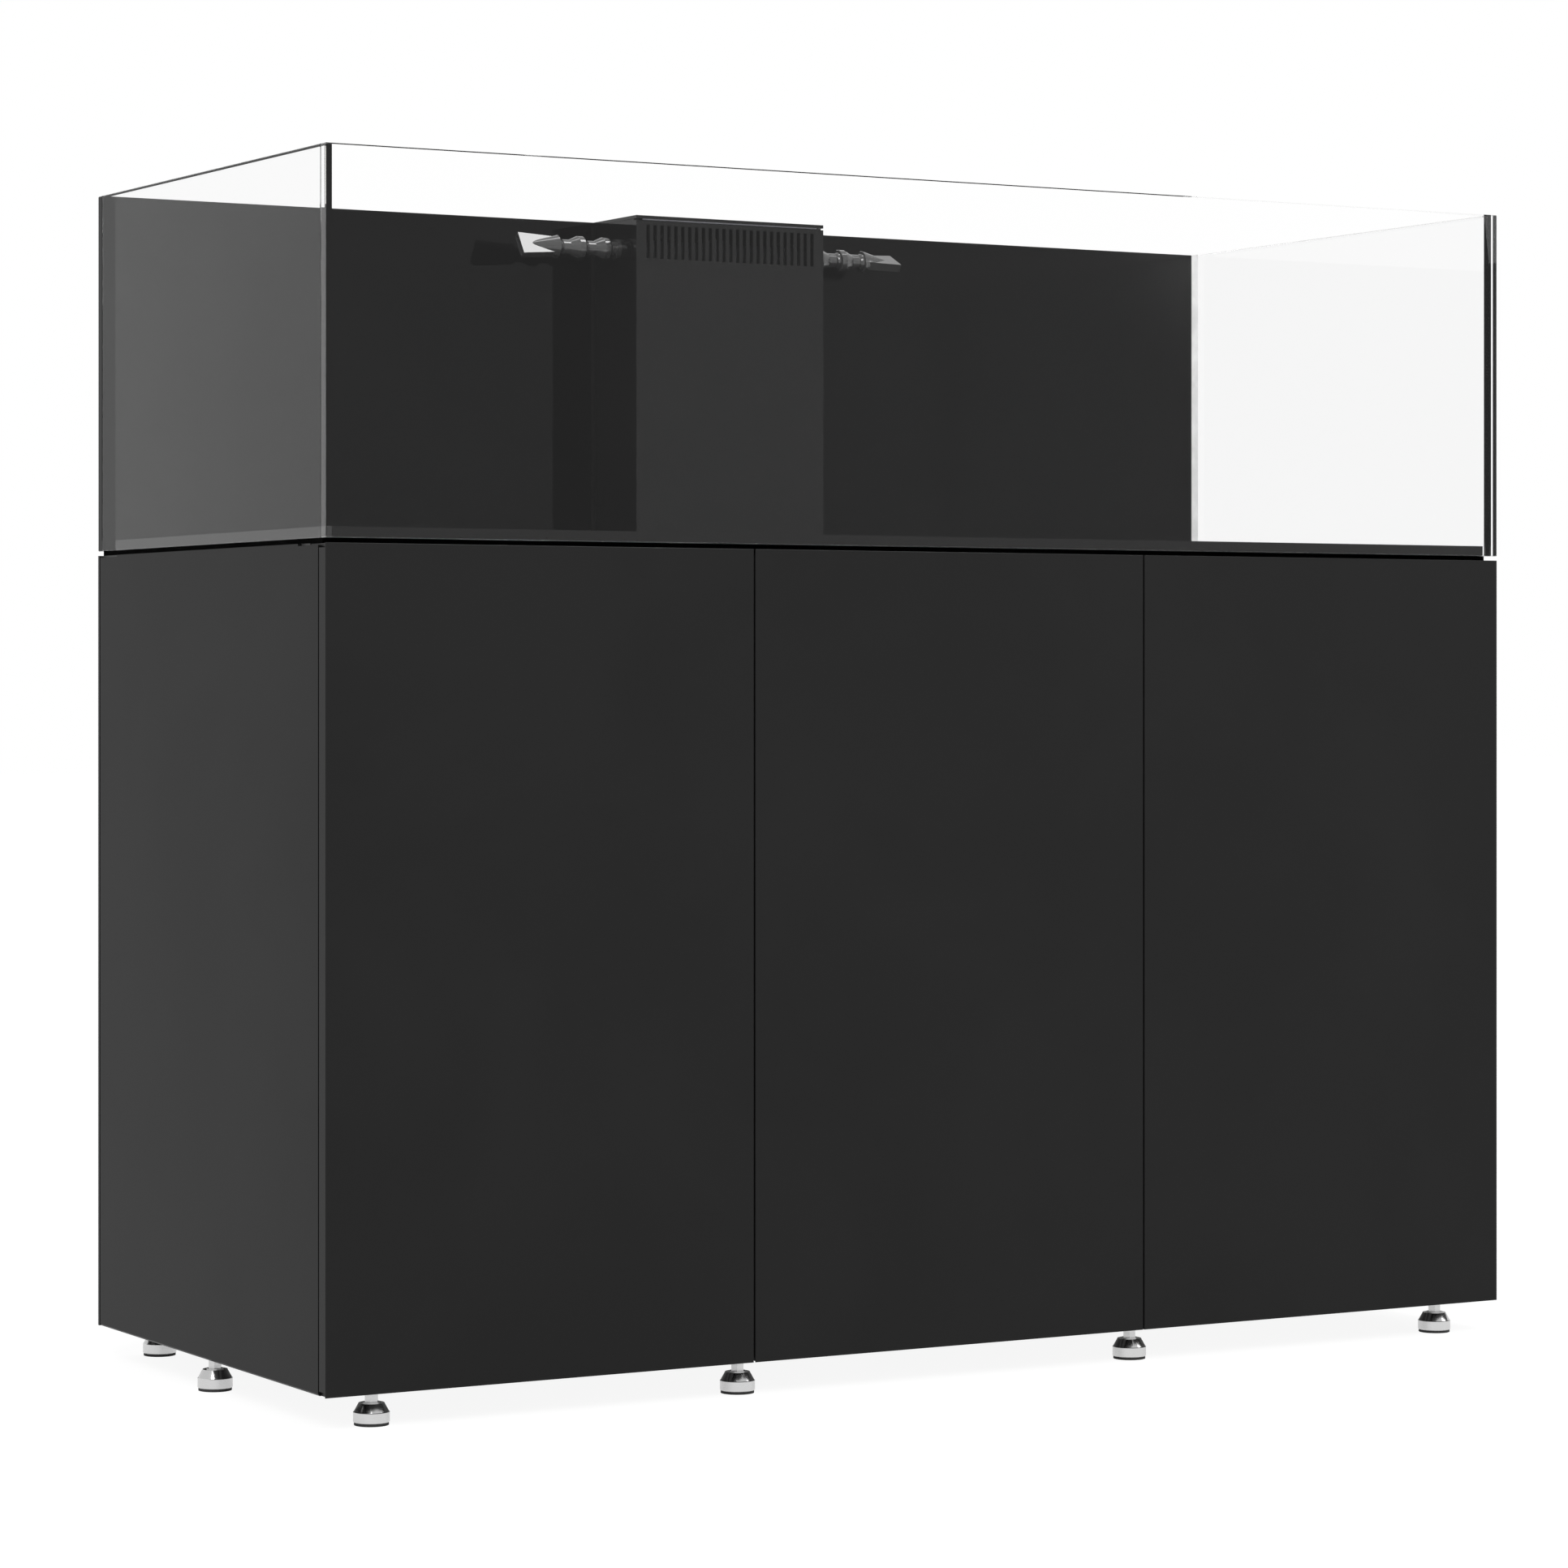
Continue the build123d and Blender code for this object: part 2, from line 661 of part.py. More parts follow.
slot_out = volute_right + INTAKE_L - INTAKE_T
for i in range(INTAKE_SLOTS):
    gap = block(volute_right + INTAKE_T, slot_out, 0, INTAKE_D, -INTAKE_SLOT / 2, INTAKE_SLOT / 2)
    grille -= Pos(0, run_y, z_axis) * Rot(i * 360 / INTAKE_SLOTS, 0, 0) * gap
pump += grille
pump -= rod(pump_x, run_y, z_port - SOCKET, z_port, PIPE_D)
pump -= rod(pump_x, run_y, z_axis, z_port, PIPE_BORE)
save("return_pump", pump)


# Valves: a body on the pipe with its stem towards the doors
def valve(x, y, z):
    half_l = VALVE_L / 2
    body = rod(x, y, z - half_l, z + half_l, VALVE_D)
    for end in (z - half_l, z + half_l - UNION_L):
        body += rod(x, y, end, end + UNION_L, UNION_D)
        for i in range(UNION_RIBS):
            turn = Pos(x, y, 0) * Rot(0, 0, i * 360 / UNION_RIBS)
            body += turn * rod(UNION_D / 2, 0, end, end + UNION_L, RIB_D)
    body += rod_y(x, y - VALVE_NECK, y, z, NECK_D)
    body -= rod(x, y, z - half_l, z + half_l, PIPE_BORE)
    body -= rod(x, y, z - half_l, z - half_l + SOCKET, PIPE_D)
    body -= rod(x, y, z + half_l - SOCKET, z + half_l, PIPE_D)
    return body - rod_y(x, y - VALVE_NECK, y - VALVE_NECK + STEM_IN + STEM_END, z, STEM_D + 2 * STEM_CLEAR)


z_valve = z_brim + VALVE_RISE
z_gate = z_brim + GATE_RISE
hub_y = run_y - VALVE_NECK - BODY_GAP
save("return_valve_body", valve(pump_x, run_y, z_valve))
lever = rod_y(pump_x, hub_y - LEVER_T, hub_y, z_valve, HUB_D)
lever += rod_y(pump_x, hub_y - LEVER_T, hub_y, z_valve + LEVER_L, LEVER_W)
lever += block(
    pump_x - LEVER_W / 2, pump_x + LEVER_W / 2, hub_y - LEVER_T, hub_y, z_valve, z_valve + LEVER_L
)
lever += rod_y(pump_x, hub_y, hub_y + BODY_GAP + STEM_IN, z_valve, STEM_D)
save("return_valve_lever", lever)

gate_x = -PIPE_STEP
wheel_y = pipe_y - VALVE_NECK - BODY_GAP
save("drain_valve_body", valve(gate_x, pipe_y, z_gate))
wheel = rod_y(gate_x, wheel_y - WHEEL_T, wheel_y, z_gate, WHEEL_D)
wheel -= rod_y(gate_x, wheel_y - WHEEL_T, wheel_y, z_gate, WHEEL_D - 2 * WHEEL_RIM)
wheel += rod_y(gate_x, wheel_y - WHEEL_T, wheel_y, z_gate, HUB_D)
spoke_l = WHEEL_D - WHEEL_RIM
for angle in (0, 90):
    spoke = Rot(0, angle, 0) * Box(spoke_l, WHEEL_T, SPOKE_W)
    wheel += Pos(gate_x, wheel_y - WHEEL_T / 2, z_gate) * spoke
wheel += rod_y(gate_x, wheel_y, wheel_y + BODY_GAP + STEM_IN, z_gate, STEM_D)
save("drain_valve_wheel", wheel)

# Pipes below the tank
z_bulk = z_tail + SOCKET
half_valve = VALVE_L / 2 - SOCKET
z_out = z_brim - SUMP_H * 3 / 8
save(
    "drain_pipes",
    tube(-PIPE_STEP, pipe_y, z_gate + half_valve, z_bulk),
    tube(-PIPE_STEP, pipe_y, z_out, z_gate - half_valve),
    tube(PIPE_STEP, pipe_y, z_out, z_bulk),
)
z_run = z_brim + RUN_RISE
seat = ELBOW_L - ELBOW_IN


def elbow(x, y, z, legs):
    outside = Pos(x, y, z) * Sphere(ELBOW_D / 2)
    passage = Pos(x, y, z) * Sphere(PIPE_BORE / 2)
    for leg in legs:
        outside += Pos(x, y, z) * leg * rod(0, 0, 0, ELBOW_L, ELBOW_D)
        passage += Pos(x, y, z) * leg * rod(0, 0, 0, ELBOW_L, PIPE_BORE)
        passage += Pos(x, y, z) * leg * rod(0, 0, seat, ELBOW_L, PIPE_D)
    return outside - passage


to_left = Rot(0, -90, 0)
to_right = Rot(0, 90, 0)
to_back = Rot(-90, 0, 0)
to_front = Rot(90, 0, 0)
to_floor = Rot(180, 0, 0)
save(
    "pipe_elbows",
    elbow(pump_x, run_y, z_run, (to_floor, to_right)),
    elbow(0, run_y, z_run, (to_left, to_back)),
    elbow(0, pipe_y, z_run, (to_front, upright)),
)
run_bore = rod_x(pump_x + seat, -seat, run_y, z_run, PIPE_BORE)
back_bore = rod_y(0, run_y + seat, pipe_y - seat, z_run, PIPE_BORE)
save(
    "return_pipe",
    tube(pump_x, run_y, z_port - SOCKET, z_valve - half_valve),
    tube(pump_x, run_y, z_valve + half_valve, z_run - seat),
    rod_x(pump_x + seat, -seat, run_y, z_run, PIPE_D) - run_bore,
    rod_y(0, run_y + seat, pipe_y - seat, z_run, PIPE_D) - back_bore,
    tube(0, pipe_y, z_run + seat, z_bulk),
)
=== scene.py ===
import json
import math

import bmesh
import bpy
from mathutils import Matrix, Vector


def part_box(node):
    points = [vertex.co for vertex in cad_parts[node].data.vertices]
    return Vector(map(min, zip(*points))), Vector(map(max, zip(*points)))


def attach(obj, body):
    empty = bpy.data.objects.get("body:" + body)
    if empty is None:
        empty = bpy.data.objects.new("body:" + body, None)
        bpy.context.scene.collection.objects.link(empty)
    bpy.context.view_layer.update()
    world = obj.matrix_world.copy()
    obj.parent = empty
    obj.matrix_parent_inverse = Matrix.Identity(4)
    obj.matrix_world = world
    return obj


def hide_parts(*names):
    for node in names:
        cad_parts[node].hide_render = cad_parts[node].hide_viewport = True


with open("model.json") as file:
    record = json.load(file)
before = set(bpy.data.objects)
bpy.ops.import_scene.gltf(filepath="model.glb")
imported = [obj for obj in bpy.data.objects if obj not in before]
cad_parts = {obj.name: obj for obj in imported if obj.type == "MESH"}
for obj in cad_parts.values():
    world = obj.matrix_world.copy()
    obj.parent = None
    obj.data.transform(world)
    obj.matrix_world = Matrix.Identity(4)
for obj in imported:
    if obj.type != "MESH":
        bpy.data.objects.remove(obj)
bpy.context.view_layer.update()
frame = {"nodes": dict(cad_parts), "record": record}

nodes = frame["nodes"]
scene = bpy.context.scene
scene.view_settings.view_transform = "Standard"

HALF_TURN = math.pi
QUARTER_TURN = math.pi / 2

# Camera, at the photograph's viewpoint
CAMERA_PLACE = (-2.70139, -4.63233, 0.76685)
CAMERA_YAW = -29.913
CAMERA_LENS = 107.05
CAMERA_SENSOR = 36
CAMERA_SHIFT_Y = -0.0684
CAMERA_REACH = 100

camera_data = bpy.data.cameras.new("camera")
camera_data.sensor_width = CAMERA_SENSOR
camera_data.lens = CAMERA_LENS
camera_data.shift_y = CAMERA_SHIFT_Y
camera_data.clip_end = CAMERA_REACH
camera = bpy.data.objects.new("camera", camera_data)
camera.location = CAMERA_PLACE
camera.rotation_euler = (QUARTER_TURN, 0, math.radians(CAMERA_YAW))
scene.collection.objects.link(camera)
scene.camera = camera


# Small helpers for node trees
def link(tree, source, target):
    tree.links.new(source, target)


def wire(tree, value, socket):
    if isinstance(value, bpy.types.NodeSocket):
        link(tree, value, socket)
    else:
        socket.default_value = value


def node(tree, kind, **values):
    made = tree.nodes.new(kind)
    for key, value in values.items():
        if hasattr(made, key):
            setattr(made, key, value)
        else:
            wire(tree, value, made.inputs[key.replace("_", " ")])
    return made


def part(tree, kind, **values):
    return node(tree, kind, **values).outputs[0]


def math_node(tree, operation, *values):
    made = node(tree, "ShaderNodeMath", operation=operation)
    for value, socket in zip(values, made.inputs):
        wire(tree, value, socket)
    return made.outputs[0]


def times(tree, value, factor):
    return math_node(tree, "MULTIPLY", value, factor)


def new_group(name, inputs, outputs, family="ShaderNodeTree"):
    tree = bpy.data.node_groups.new(name, family)
    for label, kind, value in inputs:
        socket = tree.interface.new_socket(label, in_out="INPUT", socket_type=kind)
        if value is not None:
            socket.default_value = value
    for label, kind in outputs:
        tree.interface.new_socket(label, in_out="OUTPUT", socket_type=kind)
    return tree, tree.nodes.new("NodeGroupInput"), tree.nodes.new("NodeGroupOutput")


FLOAT = "NodeSocketFloat"
VECTOR = "NodeSocketVector"
SHAPE = "NodeSocketGeometry"
FINISH = "NodeSocketMaterial"
LOW_TO_HIGH = [("Low", FLOAT, 0.0), ("High", FLOAT, 1.0)]


# Shared effects, each a group that several finishes use
def spread(tree, start, end, noise, **limits):
    span = node(
        tree,
        "ShaderNodeMapRange",
        Value=noise,
        To_Min=start.outputs["Low"],
        To_Max=start.outputs["High"],
        **limits,
    )
    link(tree, span.outputs["Result"], end.inputs["Value"])


def make_grain():
    inputs = [("Place", VECTOR, None), ("Scale", FLOAT, 900.0), *LOW_TO_HIGH]
    tree, start, end = new_group("fine_grain", inputs, [("Value", FLOAT), ("Height", FLOAT)])
    noise = node(
        tree,
        "ShaderNodeTexNoise",
        Vector=start.outputs["Place"],
        Scale=start.outputs["Scale"],
        Detail=3.0,
        Roughness=0.55,
    ).outputs["Fac"]
    spread(tree, start, end, noise, From_Min=0.3, From_Max=0.7)
    link(tree, noise, end.inputs["Height"])
    return tree


def make_cloud():
    inputs = [("Place", VECTOR, None), ("Scale", FLOAT, 4.0), *LOW_TO_HIGH]
    tree, start, end = new_group("handling_marks", inputs, [("Value", FLOAT)])
    noise = node(
        tree,
        "ShaderNodeTexNoise",
        Vector=start.outputs["Place"],
        Scale=start.outputs["Scale"],
        Detail=5.0,
        Roughness=0.6,
        Distortion=0.4,
    ).outputs["Fac"]
    spread(
        tree,
        start,
        end,
        noise,
        From_Min=0.35,
        From_Max=0.68,
        interpolation_type="SMOOTHSTEP",
    )
    return tree


# Mask of a lighter band along the edges of a box: partly edge wear, partly a painted highlight
# along the edges
def make_edge_wear_and_highlight():
    inputs = [
        ("Place", VECTOR, None),
        ("Centre", VECTOR, None),
        ("Half", VECTOR, None),
        ("Width", FLOAT, 0.0015),
        ("Amount", FLOAT, 0.5),
    ]
    tree, start, end = new_group("edge_wear_and_highlight", inputs, [("Mask", FLOAT)])
    place, centre, half, width, amount = [start.outputs[label] for label, kind, value in inputs]

    def vectors(operation, *values):
        made = node(tree, "ShaderNodeVectorMath", operation=operation)
        for value, socket in zip(values, made.inputs):
            wire(tree, value, socket)
        return made.outputs["Vector"]

    # The middle one of the three depths below the faces is small only along an edge
    inside = vectors("SUBTRACT", half, vectors("ABSOLUTE", vectors("SUBTRACT", place, centre)))
    x, y, z = node(tree, "ShaderNodeSeparateXYZ", Vector=inside).outputs
    low = math_node(tree, "MINIMUM", x, y)
    high = math_node(tree, "MAXIMUM", x, y)
    middle = math_node(tree, "MAXIMUM", low, math_node(tree, "MINIMUM", high, z))
    noise = node(tree, "ShaderNodeTexNoise", Vector=place, Scale=60.0, Detail=4.0).outputs["Fac"]
    near = node(
        tree,
        "ShaderNodeMapRange",
        Value=middle,
        From_Min=0.0,
        From_Max=times(tree, width, times(tree, noise, 2.0)),
        To_Min=1.0,
        To_Max=0.0,
        interpolation_type="SMOOTHSTEP",
    ).outputs["Result"]
    link(tree, times(tree, near, amount), end.inputs["Mask"])
    return tree


def make_brushing():
    inputs = [
        ("Place", VECTOR, None),
        ("Stretch", VECTOR, (1.0, 1.0, 60.0)),
        ("Low", FLOAT, 0.2),
        ("High", FLOAT, 0.4),
    ]
    tree, start, end = new_group("brushed_lines", inputs, [("Value", FLOAT), ("Height", FLOAT)])
    scaled = node(tree, "ShaderNodeVectorMath", operation="MULTIPLY")
    link(tree, start.outputs["Place"], scaled.inputs[0])
    link(tree, start.outputs["Stretch"], scaled.inputs[1])
    noise = node(
        tree,
        "ShaderNodeTexNoise",
        Vector=scaled.outputs["Vector"],
        Scale=30.0,
        Detail=4.0,
        Roughness=0.65,
    ).outputs["Fac"]
    spread(tree, start, end, noise, From_Min=0.3, From_Max=0.7)
    link(tree, noise, end.inputs["Height"])
    return tree


GRAIN = make_grain()
CLOUD = make_cloud()
EDGE_WEAR_AND_HIGHLIGHT = make_edge_wear_and_highlight()
BRUSH = make_brushing()


def start_material(name, **sockets):
    made = bpy.data.materials.new(name)
    made.use_nodes = True
    tree = made.node_tree
    shader = tree.nodes["Principled BSDF"]
    for label, value in sockets.items():
        shader.inputs[label.replace("_", " ")].default_value = value
    place = tree.nodes.new("ShaderNodeTexCoord").outputs["Object"]
    return made, tree, shader, place


def group(tree, kind, place, **values):
    return node(tree, "ShaderNodeGroup", node_tree=kind, Place=place, **values)


def axes_of(tree, place):
    return node(tree, "ShaderNodeSeparateXYZ", Vector=place).outputs


def grey(value):
    return (value, value, value)


def rgba(color):
    return (*color, 1)


def toned(color, factor):
    return tuple(min(1, share * factor) for share in color)


def blended(tree, factor, first, second):
    blend = node(tree, "ShaderNodeMix", data_type="RGBA", Factor=factor)
    colors = [socket for socket in blend.inputs if socket.type == "RGBA"]
    for color, socket in zip((first, second), colors):
        wire(tree, color, socket)
    return [socket for socket in blend.outputs if socket.type == "RGBA"][0]


def tint(tree, shader, factor, dark, light):
    link(tree, blended(tree, factor, rgba(dark), rgba(light)), shader.inputs["Base Color"])


def bump(tree, shader, height, distance, strength):
    made = node(tree, "ShaderNodeBump", Height=height, Strength=strength, Distance=distance)
    link(tree, made.outputs["Normal"], shader.inputs["Normal"])


# Finishes
# Lighter lacquer tone for handling marks and for the door edges, where it is partly wear and
# partly painted highlight
WORN_AND_HIGHLIT_LACQUER = 1.45
DOOR_MARKS = 0.25
GRAIN_DARK, GRAIN_LIGHT = 0.9, 1.1
MOULD_DARK, MOULD_LIGHT = 0.88, 1.12
METAL_DARK, METAL_LIGHT = 0.85, 1.1
FOAM_LIGHT = 2


def lacquer(name, shade, ior, box=None):
    made, tree, shader, place = start_material(name, IOR=ior)
    factor = group(tree, CLOUD, place, Scale=3.0, Low=0.0, High=1.0).outputs["Value"]
    peel = group(tree, GRAIN, place, Scale=700.0, Low=0.34, High=0.4)
    if box:
        low, high = Vector(box[0]), Vector(box[1])
        centre, half = (low + high) / 2, (high - low) / 2
        # Lighter band along the door edges: partly wear, partly a painted highlight along the
        # edges
        wear_and_highlight = group(tree, EDGE_WEAR_AND_HIGHLIGHT, place, Centre=centre, Half=half, Width=0.0012, Amount=0.4)
        factor = math_node(tree, "ADD", times(tree, factor, DOOR_MARKS), wear_and_highlight.outputs["Mask"])
    tint(tree, shader, factor, grey(shade), grey(shade * WORN_AND_HIGHLIT_LACQUER))
    link(tree, peel.outputs["Value"], shader.inputs["Roughness"])
    bump(tree, shader, peel.outputs["Height"], distance=0.00004, strength=0.25)
    return made


def clear_glass(name, tone, ior, rough):
    made, tree, shader, place = start_material(
        name, IOR=ior, Base_Color=rgba(tone), Transmission_Weight=1.0
    )
    smear = group(tree, CLOUD, place, Scale=5.0, Low=0.0, High=rough)
    link(tree, smear.outputs["Value"], shader.inputs["Roughness"])
    return made


# Faces of the panes that reflect more have a coat: (axis, direction, limit, amount)
PANE_SPECULAR = 0.16
GROUND_ROUGH = 0.6
# Near-black tint for the outer right end of the front pane: painted shade
PAINTED_END_SHADE = 0.0002


def pane_glass(name, tone, ior, coats, ground=None, painted_shade_end=None):
    made, tree, shader, place = start_material(
        name,
        IOR=ior,
        Base_Color=rgba(tone),
        Roughness=0.0,
        Transmission_Weight=1.0,
        Coat_Roughness=0.0,
        Specular_Tint=rgba(grey(PANE_SPECULAR)),
    )
    axes = axes_of(tree, place)
    smear = group(tree, CLOUD, place, Scale=5.0, Low=0.97, High=1.03)
    weight = 0.0
    for axis, hand, limit, amount in coats:
        mask = math_node(tree, "GREATER_THAN", times(tree, axes[axis], hand), limit)
        weight = math_node(tree, "MULTIPLY_ADD", mask, amount, weight)
    if ground:
        low_edge = math_node(tree, "LESS_THAN", axes["Z"], ground)
        weight = math_node(tree, "ADD", weight, low_edge)
        link(tree, times(tree, low_edge, GROUND_ROUGH), shader.inputs["Roughness"])
    # The outer right end of the pane is tinted near-black: painted shade for the dark strip at
    # the glass end
    if painted_shade_end:
        at_end = math_node(tree, "GREATER_THAN", axes["X"], painted_shade_end[0])
        shallow = math_node(tree, "LESS_THAN", axes["Y"], painted_shade_end[1])
        tint(tree, shader, times(tree, at_end, shallow), tone, grey(PAINTED_END_SHADE))
    link(tree, times(tree, weight, smear.outputs["Value"]), shader.inputs["Coat Weight"])
    return made


def gloss(name, shade, ior, low, high, peel=0.00002, ramp=None):
    made, tree, shader, place = start_material(name, IOR=ior)
    grain = group(tree, GRAIN, place, Scale=420.0)
    if ramp:
        rough = node(
            tree,
            "ShaderNodeMapRange",
            Value=axes_of(tree, place)["X"],
            From_Min=ramp[0],
            From_Max=ramp[1],
            To_Min=low,
            To_Max=high,
        ).outputs["Result"]
    else:
        rough = group(tree, CLOUD, place, Scale=6.0, Low=low, High=high).outputs["Value"]
    link(tree, rough, shader.inputs["Roughness"])
    dark, light = grey(shade * GRAIN_DARK), grey(shade * GRAIN_LIGHT)
    tint(tree, shader, grain.outputs["Value"], dark, light)
    if peel:
        bump(tree, shader, grain.outputs["Height"], distance=peel, strength=0.3)
    return made


def moulded(name, color, ior, low, high, texture=0.00006):
    made, tree, shader, place = start_material(name, IOR=ior)
    marks = group(tree, CLOUD, place, Scale=14.0, Low=0.0, High=1.0)
    grain = group(tree, GRAIN, place, Scale=1600.0, Low=low, High=high)
    dark, light = toned(color, MOULD_DARK), toned(color, MOULD_LIGHT)
    tint(tree, shader, marks.outputs["Value"], dark, light)
    link(tree, grain.outputs["Value"], shader.inputs["Roughness"])
    bump(tree, shader, grain.outputs["Height"], distance=texture, strength=0.5)
    return made


def metal(name, color, low, high, stretch=(1.0, 1.0, 40.0)):
    made, tree, shader, place = start_material(name, Metallic=1.0)
    lines = group(tree, BRUSH, place, Stretch=stretch, Low=low, High=high)
    dark, light = toned(color, METAL_DARK), toned(color, METAL_LIGHT)
    tint(tree, shader, lines.outputs["Height"], dark, light)
    link(tree, lines.outputs["Value"], shader.inputs["Roughness"])
    bump(tree, shader, lines.outputs["Height"], distance=0.00002, strength=0.3)
    return made


def foam(name, shade):
    made, tree, shader, place = start_material(name, Roughness=0.95, IOR=1.1)
    cells = node(tree, "ShaderNodeTexVoronoi", Vector=place, Scale=900.0).outputs["Distance"]
    tint(tree, shader, cells, grey(shade), grey(shade * FOAM_LIGHT))
    bump(tree, shader, cells, distance=0.0003, strength=0.6)
    return made


# Tank panes that set the places of coats and seams
front_low, front_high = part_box("front_pane")
left_low, left_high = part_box("left_pane")
floor_low, floor_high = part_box("bottom_pane")
LOW_SEAM_MARGIN = 0.0001
SIDE_SEAM_MARGIN = 0.0002


def silicone(name, shade, end_coat, side_coat):
    made, tree, shader, place = start_material(name, IOR=1.16, Coat_Roughness=0.05)
    axes = axes_of(tree, place)
    low_seam = math_node(tree, "LESS_THAN", axes["Z"], floor_high[2] + LOW_SEAM_MARGIN)
    from_middle = math_node(tree, "ABSOLUTE", axes["X"])
    at_side = math_node(tree, "GREATER_THAN", from_middle, floor_high[0] - SIDE_SEAM_MARGIN)
    weight = math_node(tree, "MULTIPLY_ADD", at_side, side_coat - end_coat, end_coat)
    link(tree, times(tree, low_seam, weight), shader.inputs["Coat Weight"])
    grain = group(tree, GRAIN, place, Scale=1600.0, Low=0.08, High=0.13)
    dark, light = grey(shade * GRAIN_DARK), grey(shade * GRAIN_LIGHT)
    tint(tree, shader, grain.outputs["Value"], dark, light)
    link(tree, grain.outputs["Value"], shader.inputs["Roughness"])
    return made


# Levelling feet, from the floor up: rubber pad, brushed band, polished cone, stem
PAD_TOP = 0.003
BAND_TOP = 0.0139
CONE_TOP = 0.02261
PAD_TONE = 0.012
BAND_TONE = 0.62
CONE_TONE = 0.5
STEM_TONE = 0.6
PAD_ROUGH = 0.5
CONE_POLISH = 0.4


def foot_metal(name):
    made, tree, shader, place = start_material(name)
    z = axes_of(tree, place)["Z"]
    lines = group(tree, BRUSH, place, Stretch=(1.0, 1.0, 60.0), Low=0.24, High=0.36)
    above_pad, above_band, above_cone = [
        math_node(tree, "GREATER_THAN", z, top) for top in (PAD_TOP, BAND_TOP, CONE_TOP)
    ]
    link(tree, above_pad, shader.inputs["Metallic"])
    color = rgba(grey(PAD_TONE))
    for mask, tone in ((above_pad, BAND_TONE), (above_band, CONE_TONE), (above_cone, STEM_TONE)):
        color = blended(tree, mask, color, rgba(grey(tone)))
    link(tree, color, shader.inputs["Base Color"])
    on_cone = math_node(tree, "SUBTRACT", above_band, above_cone)
    dulled = math_node(tree, "SUBTRACT", 1.0, times(tree, on_cone, CONE_POLISH))
    on_pad = math_node(tree, "SUBTRACT", 1.0, above_pad)
    bare_metal = times(tree, lines.outputs["Value"], dulled)
    rough = math_node(tree, "ADD", bare_metal, times(tree, on_pad, PAD_ROUGH))
    link(tree, rough, shader.inputs["Roughness"])
    bump(tree, shader, lines.outputs["Height"], distance=0.00001, strength=0.2)
    return made


FACE_DEPTH = 0.0005
ARRIS = 0.0009
CLEAR_END = 0.0029
FRONT_COAT = 0.38
LEFT_END_COAT = 1.0
RIGHT_END_COAT = 0.12
SIDE_COAT = 0.4
BACK_PANE_RAMP = (-0.1, 0.16)
EVEN = (1.0, 1.0, 1.0)
outer_face = front_high[0] - FACE_DEPTH
FRONT_GLASS = pane_glass(
    "front_glass",
    tone=grey(0.997),
    ior=1.08,
    coats=(
        ("Y", -1, -front_low[1] - FACE_DEPTH, FRONT_COAT),
        ("X", -1, outer_face, LEFT_END_COAT),
        ("X", 1, outer_face, RIGHT_END_COAT),
    ),
    ground=front_low[2] + ARRIS,
    # right end of the front pane tinted dark as painted shade
    painted_shade_end=(outer_face, front_high[1] - CLEAR_END),
)
SIDE_GLASS = pane_glass(
    "side_glass",
    tone=grey(0.95),
    ior=1.09,
    coats=(("X", -1, outer_face, SIDE_COAT), ("X", 1, outer_face, SIDE_COAT)),
)
BLACK_GLASS = gloss(
    "black_glass", shade=0.0012, ior=1.175, low=0.03, high=0.115, peel=0, ramp=BACK_PANE_RAMP
)
HOSE = moulded("hose_plastic", grey(0.03), ior=1.6, low=0.08, high=0.14, texture=0.00002)
PIPE = moulded("pipe_plastic", (0.11, 0.115, 0.12), ior=1.45, low=0.3, high=0.42)
VALVE = moulded("valve_plastic", (0.05, 0.052, 0.056), ior=1.45, low=0.34, high=0.46)
HANDLE = moulded("handle_plastic", (0.42, 0.02, 0.015), ior=1.45, low=0.3, high=0.42)
FINISHES = {
    "clear_glass": FRONT_GLASS,
    "sump_glass": clear_glass("sump_glass", (0.96, 0.99, 0.975), ior=1.5, rough=0.01),
    "black_glass": BLACK_GLASS,
    "silicone": silicone("black_silicone", shade=0.002, end_coat=0.3, side_coat=1.0),
    "overflow_plastic": gloss("overflow_acrylic", shade=0.004, ior=1.28, low=0.02, high=0.06),
    "hose_plastic": HOSE,
    "rear_panel": lacquer("rear_panel", shade=0.012, ior=1.2),
    # Side panels: the same lacquer as the doors, set darker than on the doors as painted shade
    "side_panel": lacquer("side_panel", shade=0.005, ior=1.16),
    "board": lacquer("deck_board", shade=0.03, ior=1.22),
    "mat_foam": foam("mat_foam", shade=0.0006),
    "frame_aluminium": metal("frame_anodised", grey(0.06), low=0.3, high=0.45, stretch=EVEN),
    "hinge_steel": metal("hinge_steel", grey(0.6), low=0.22, high=0.34),
    "magnet_plating": metal("magnet_plating", grey(0.7), low=0.15, high=0.25),
    "foot_metal": foot_metal("foot_metal"),
    "pipe_plastic": PIPE,
    "valve_plastic": VALVE,
    "handle_plastic": HANDLE,
    "pump_plastic": moulded("pump_plastic", grey(0.05), ior=1.45, low=0.36, high=0.5),
}
OVERFLOW_WALL = gloss("overflow_wall", shade=0.004, ior=1.255, low=0.02, high=0.06)
OWN_FINISH = {
    "left_pane": SIDE_GLASS,
    "right_pane": SIDE_GLASS,
    "bottom_pane": gloss("bottom_glass", shade=0.004, ior=1.28, low=0.02, high=0.06),
    "hinge_arms": lacquer("hinge_coating", shade=0.003, ior=1.2),
    "overflow_left_wall": OVERFLOW_WALL,
    "overflow_right_wall": OVERFLOW_WALL,
}
DOOR_SLOT = "door_lacquer"

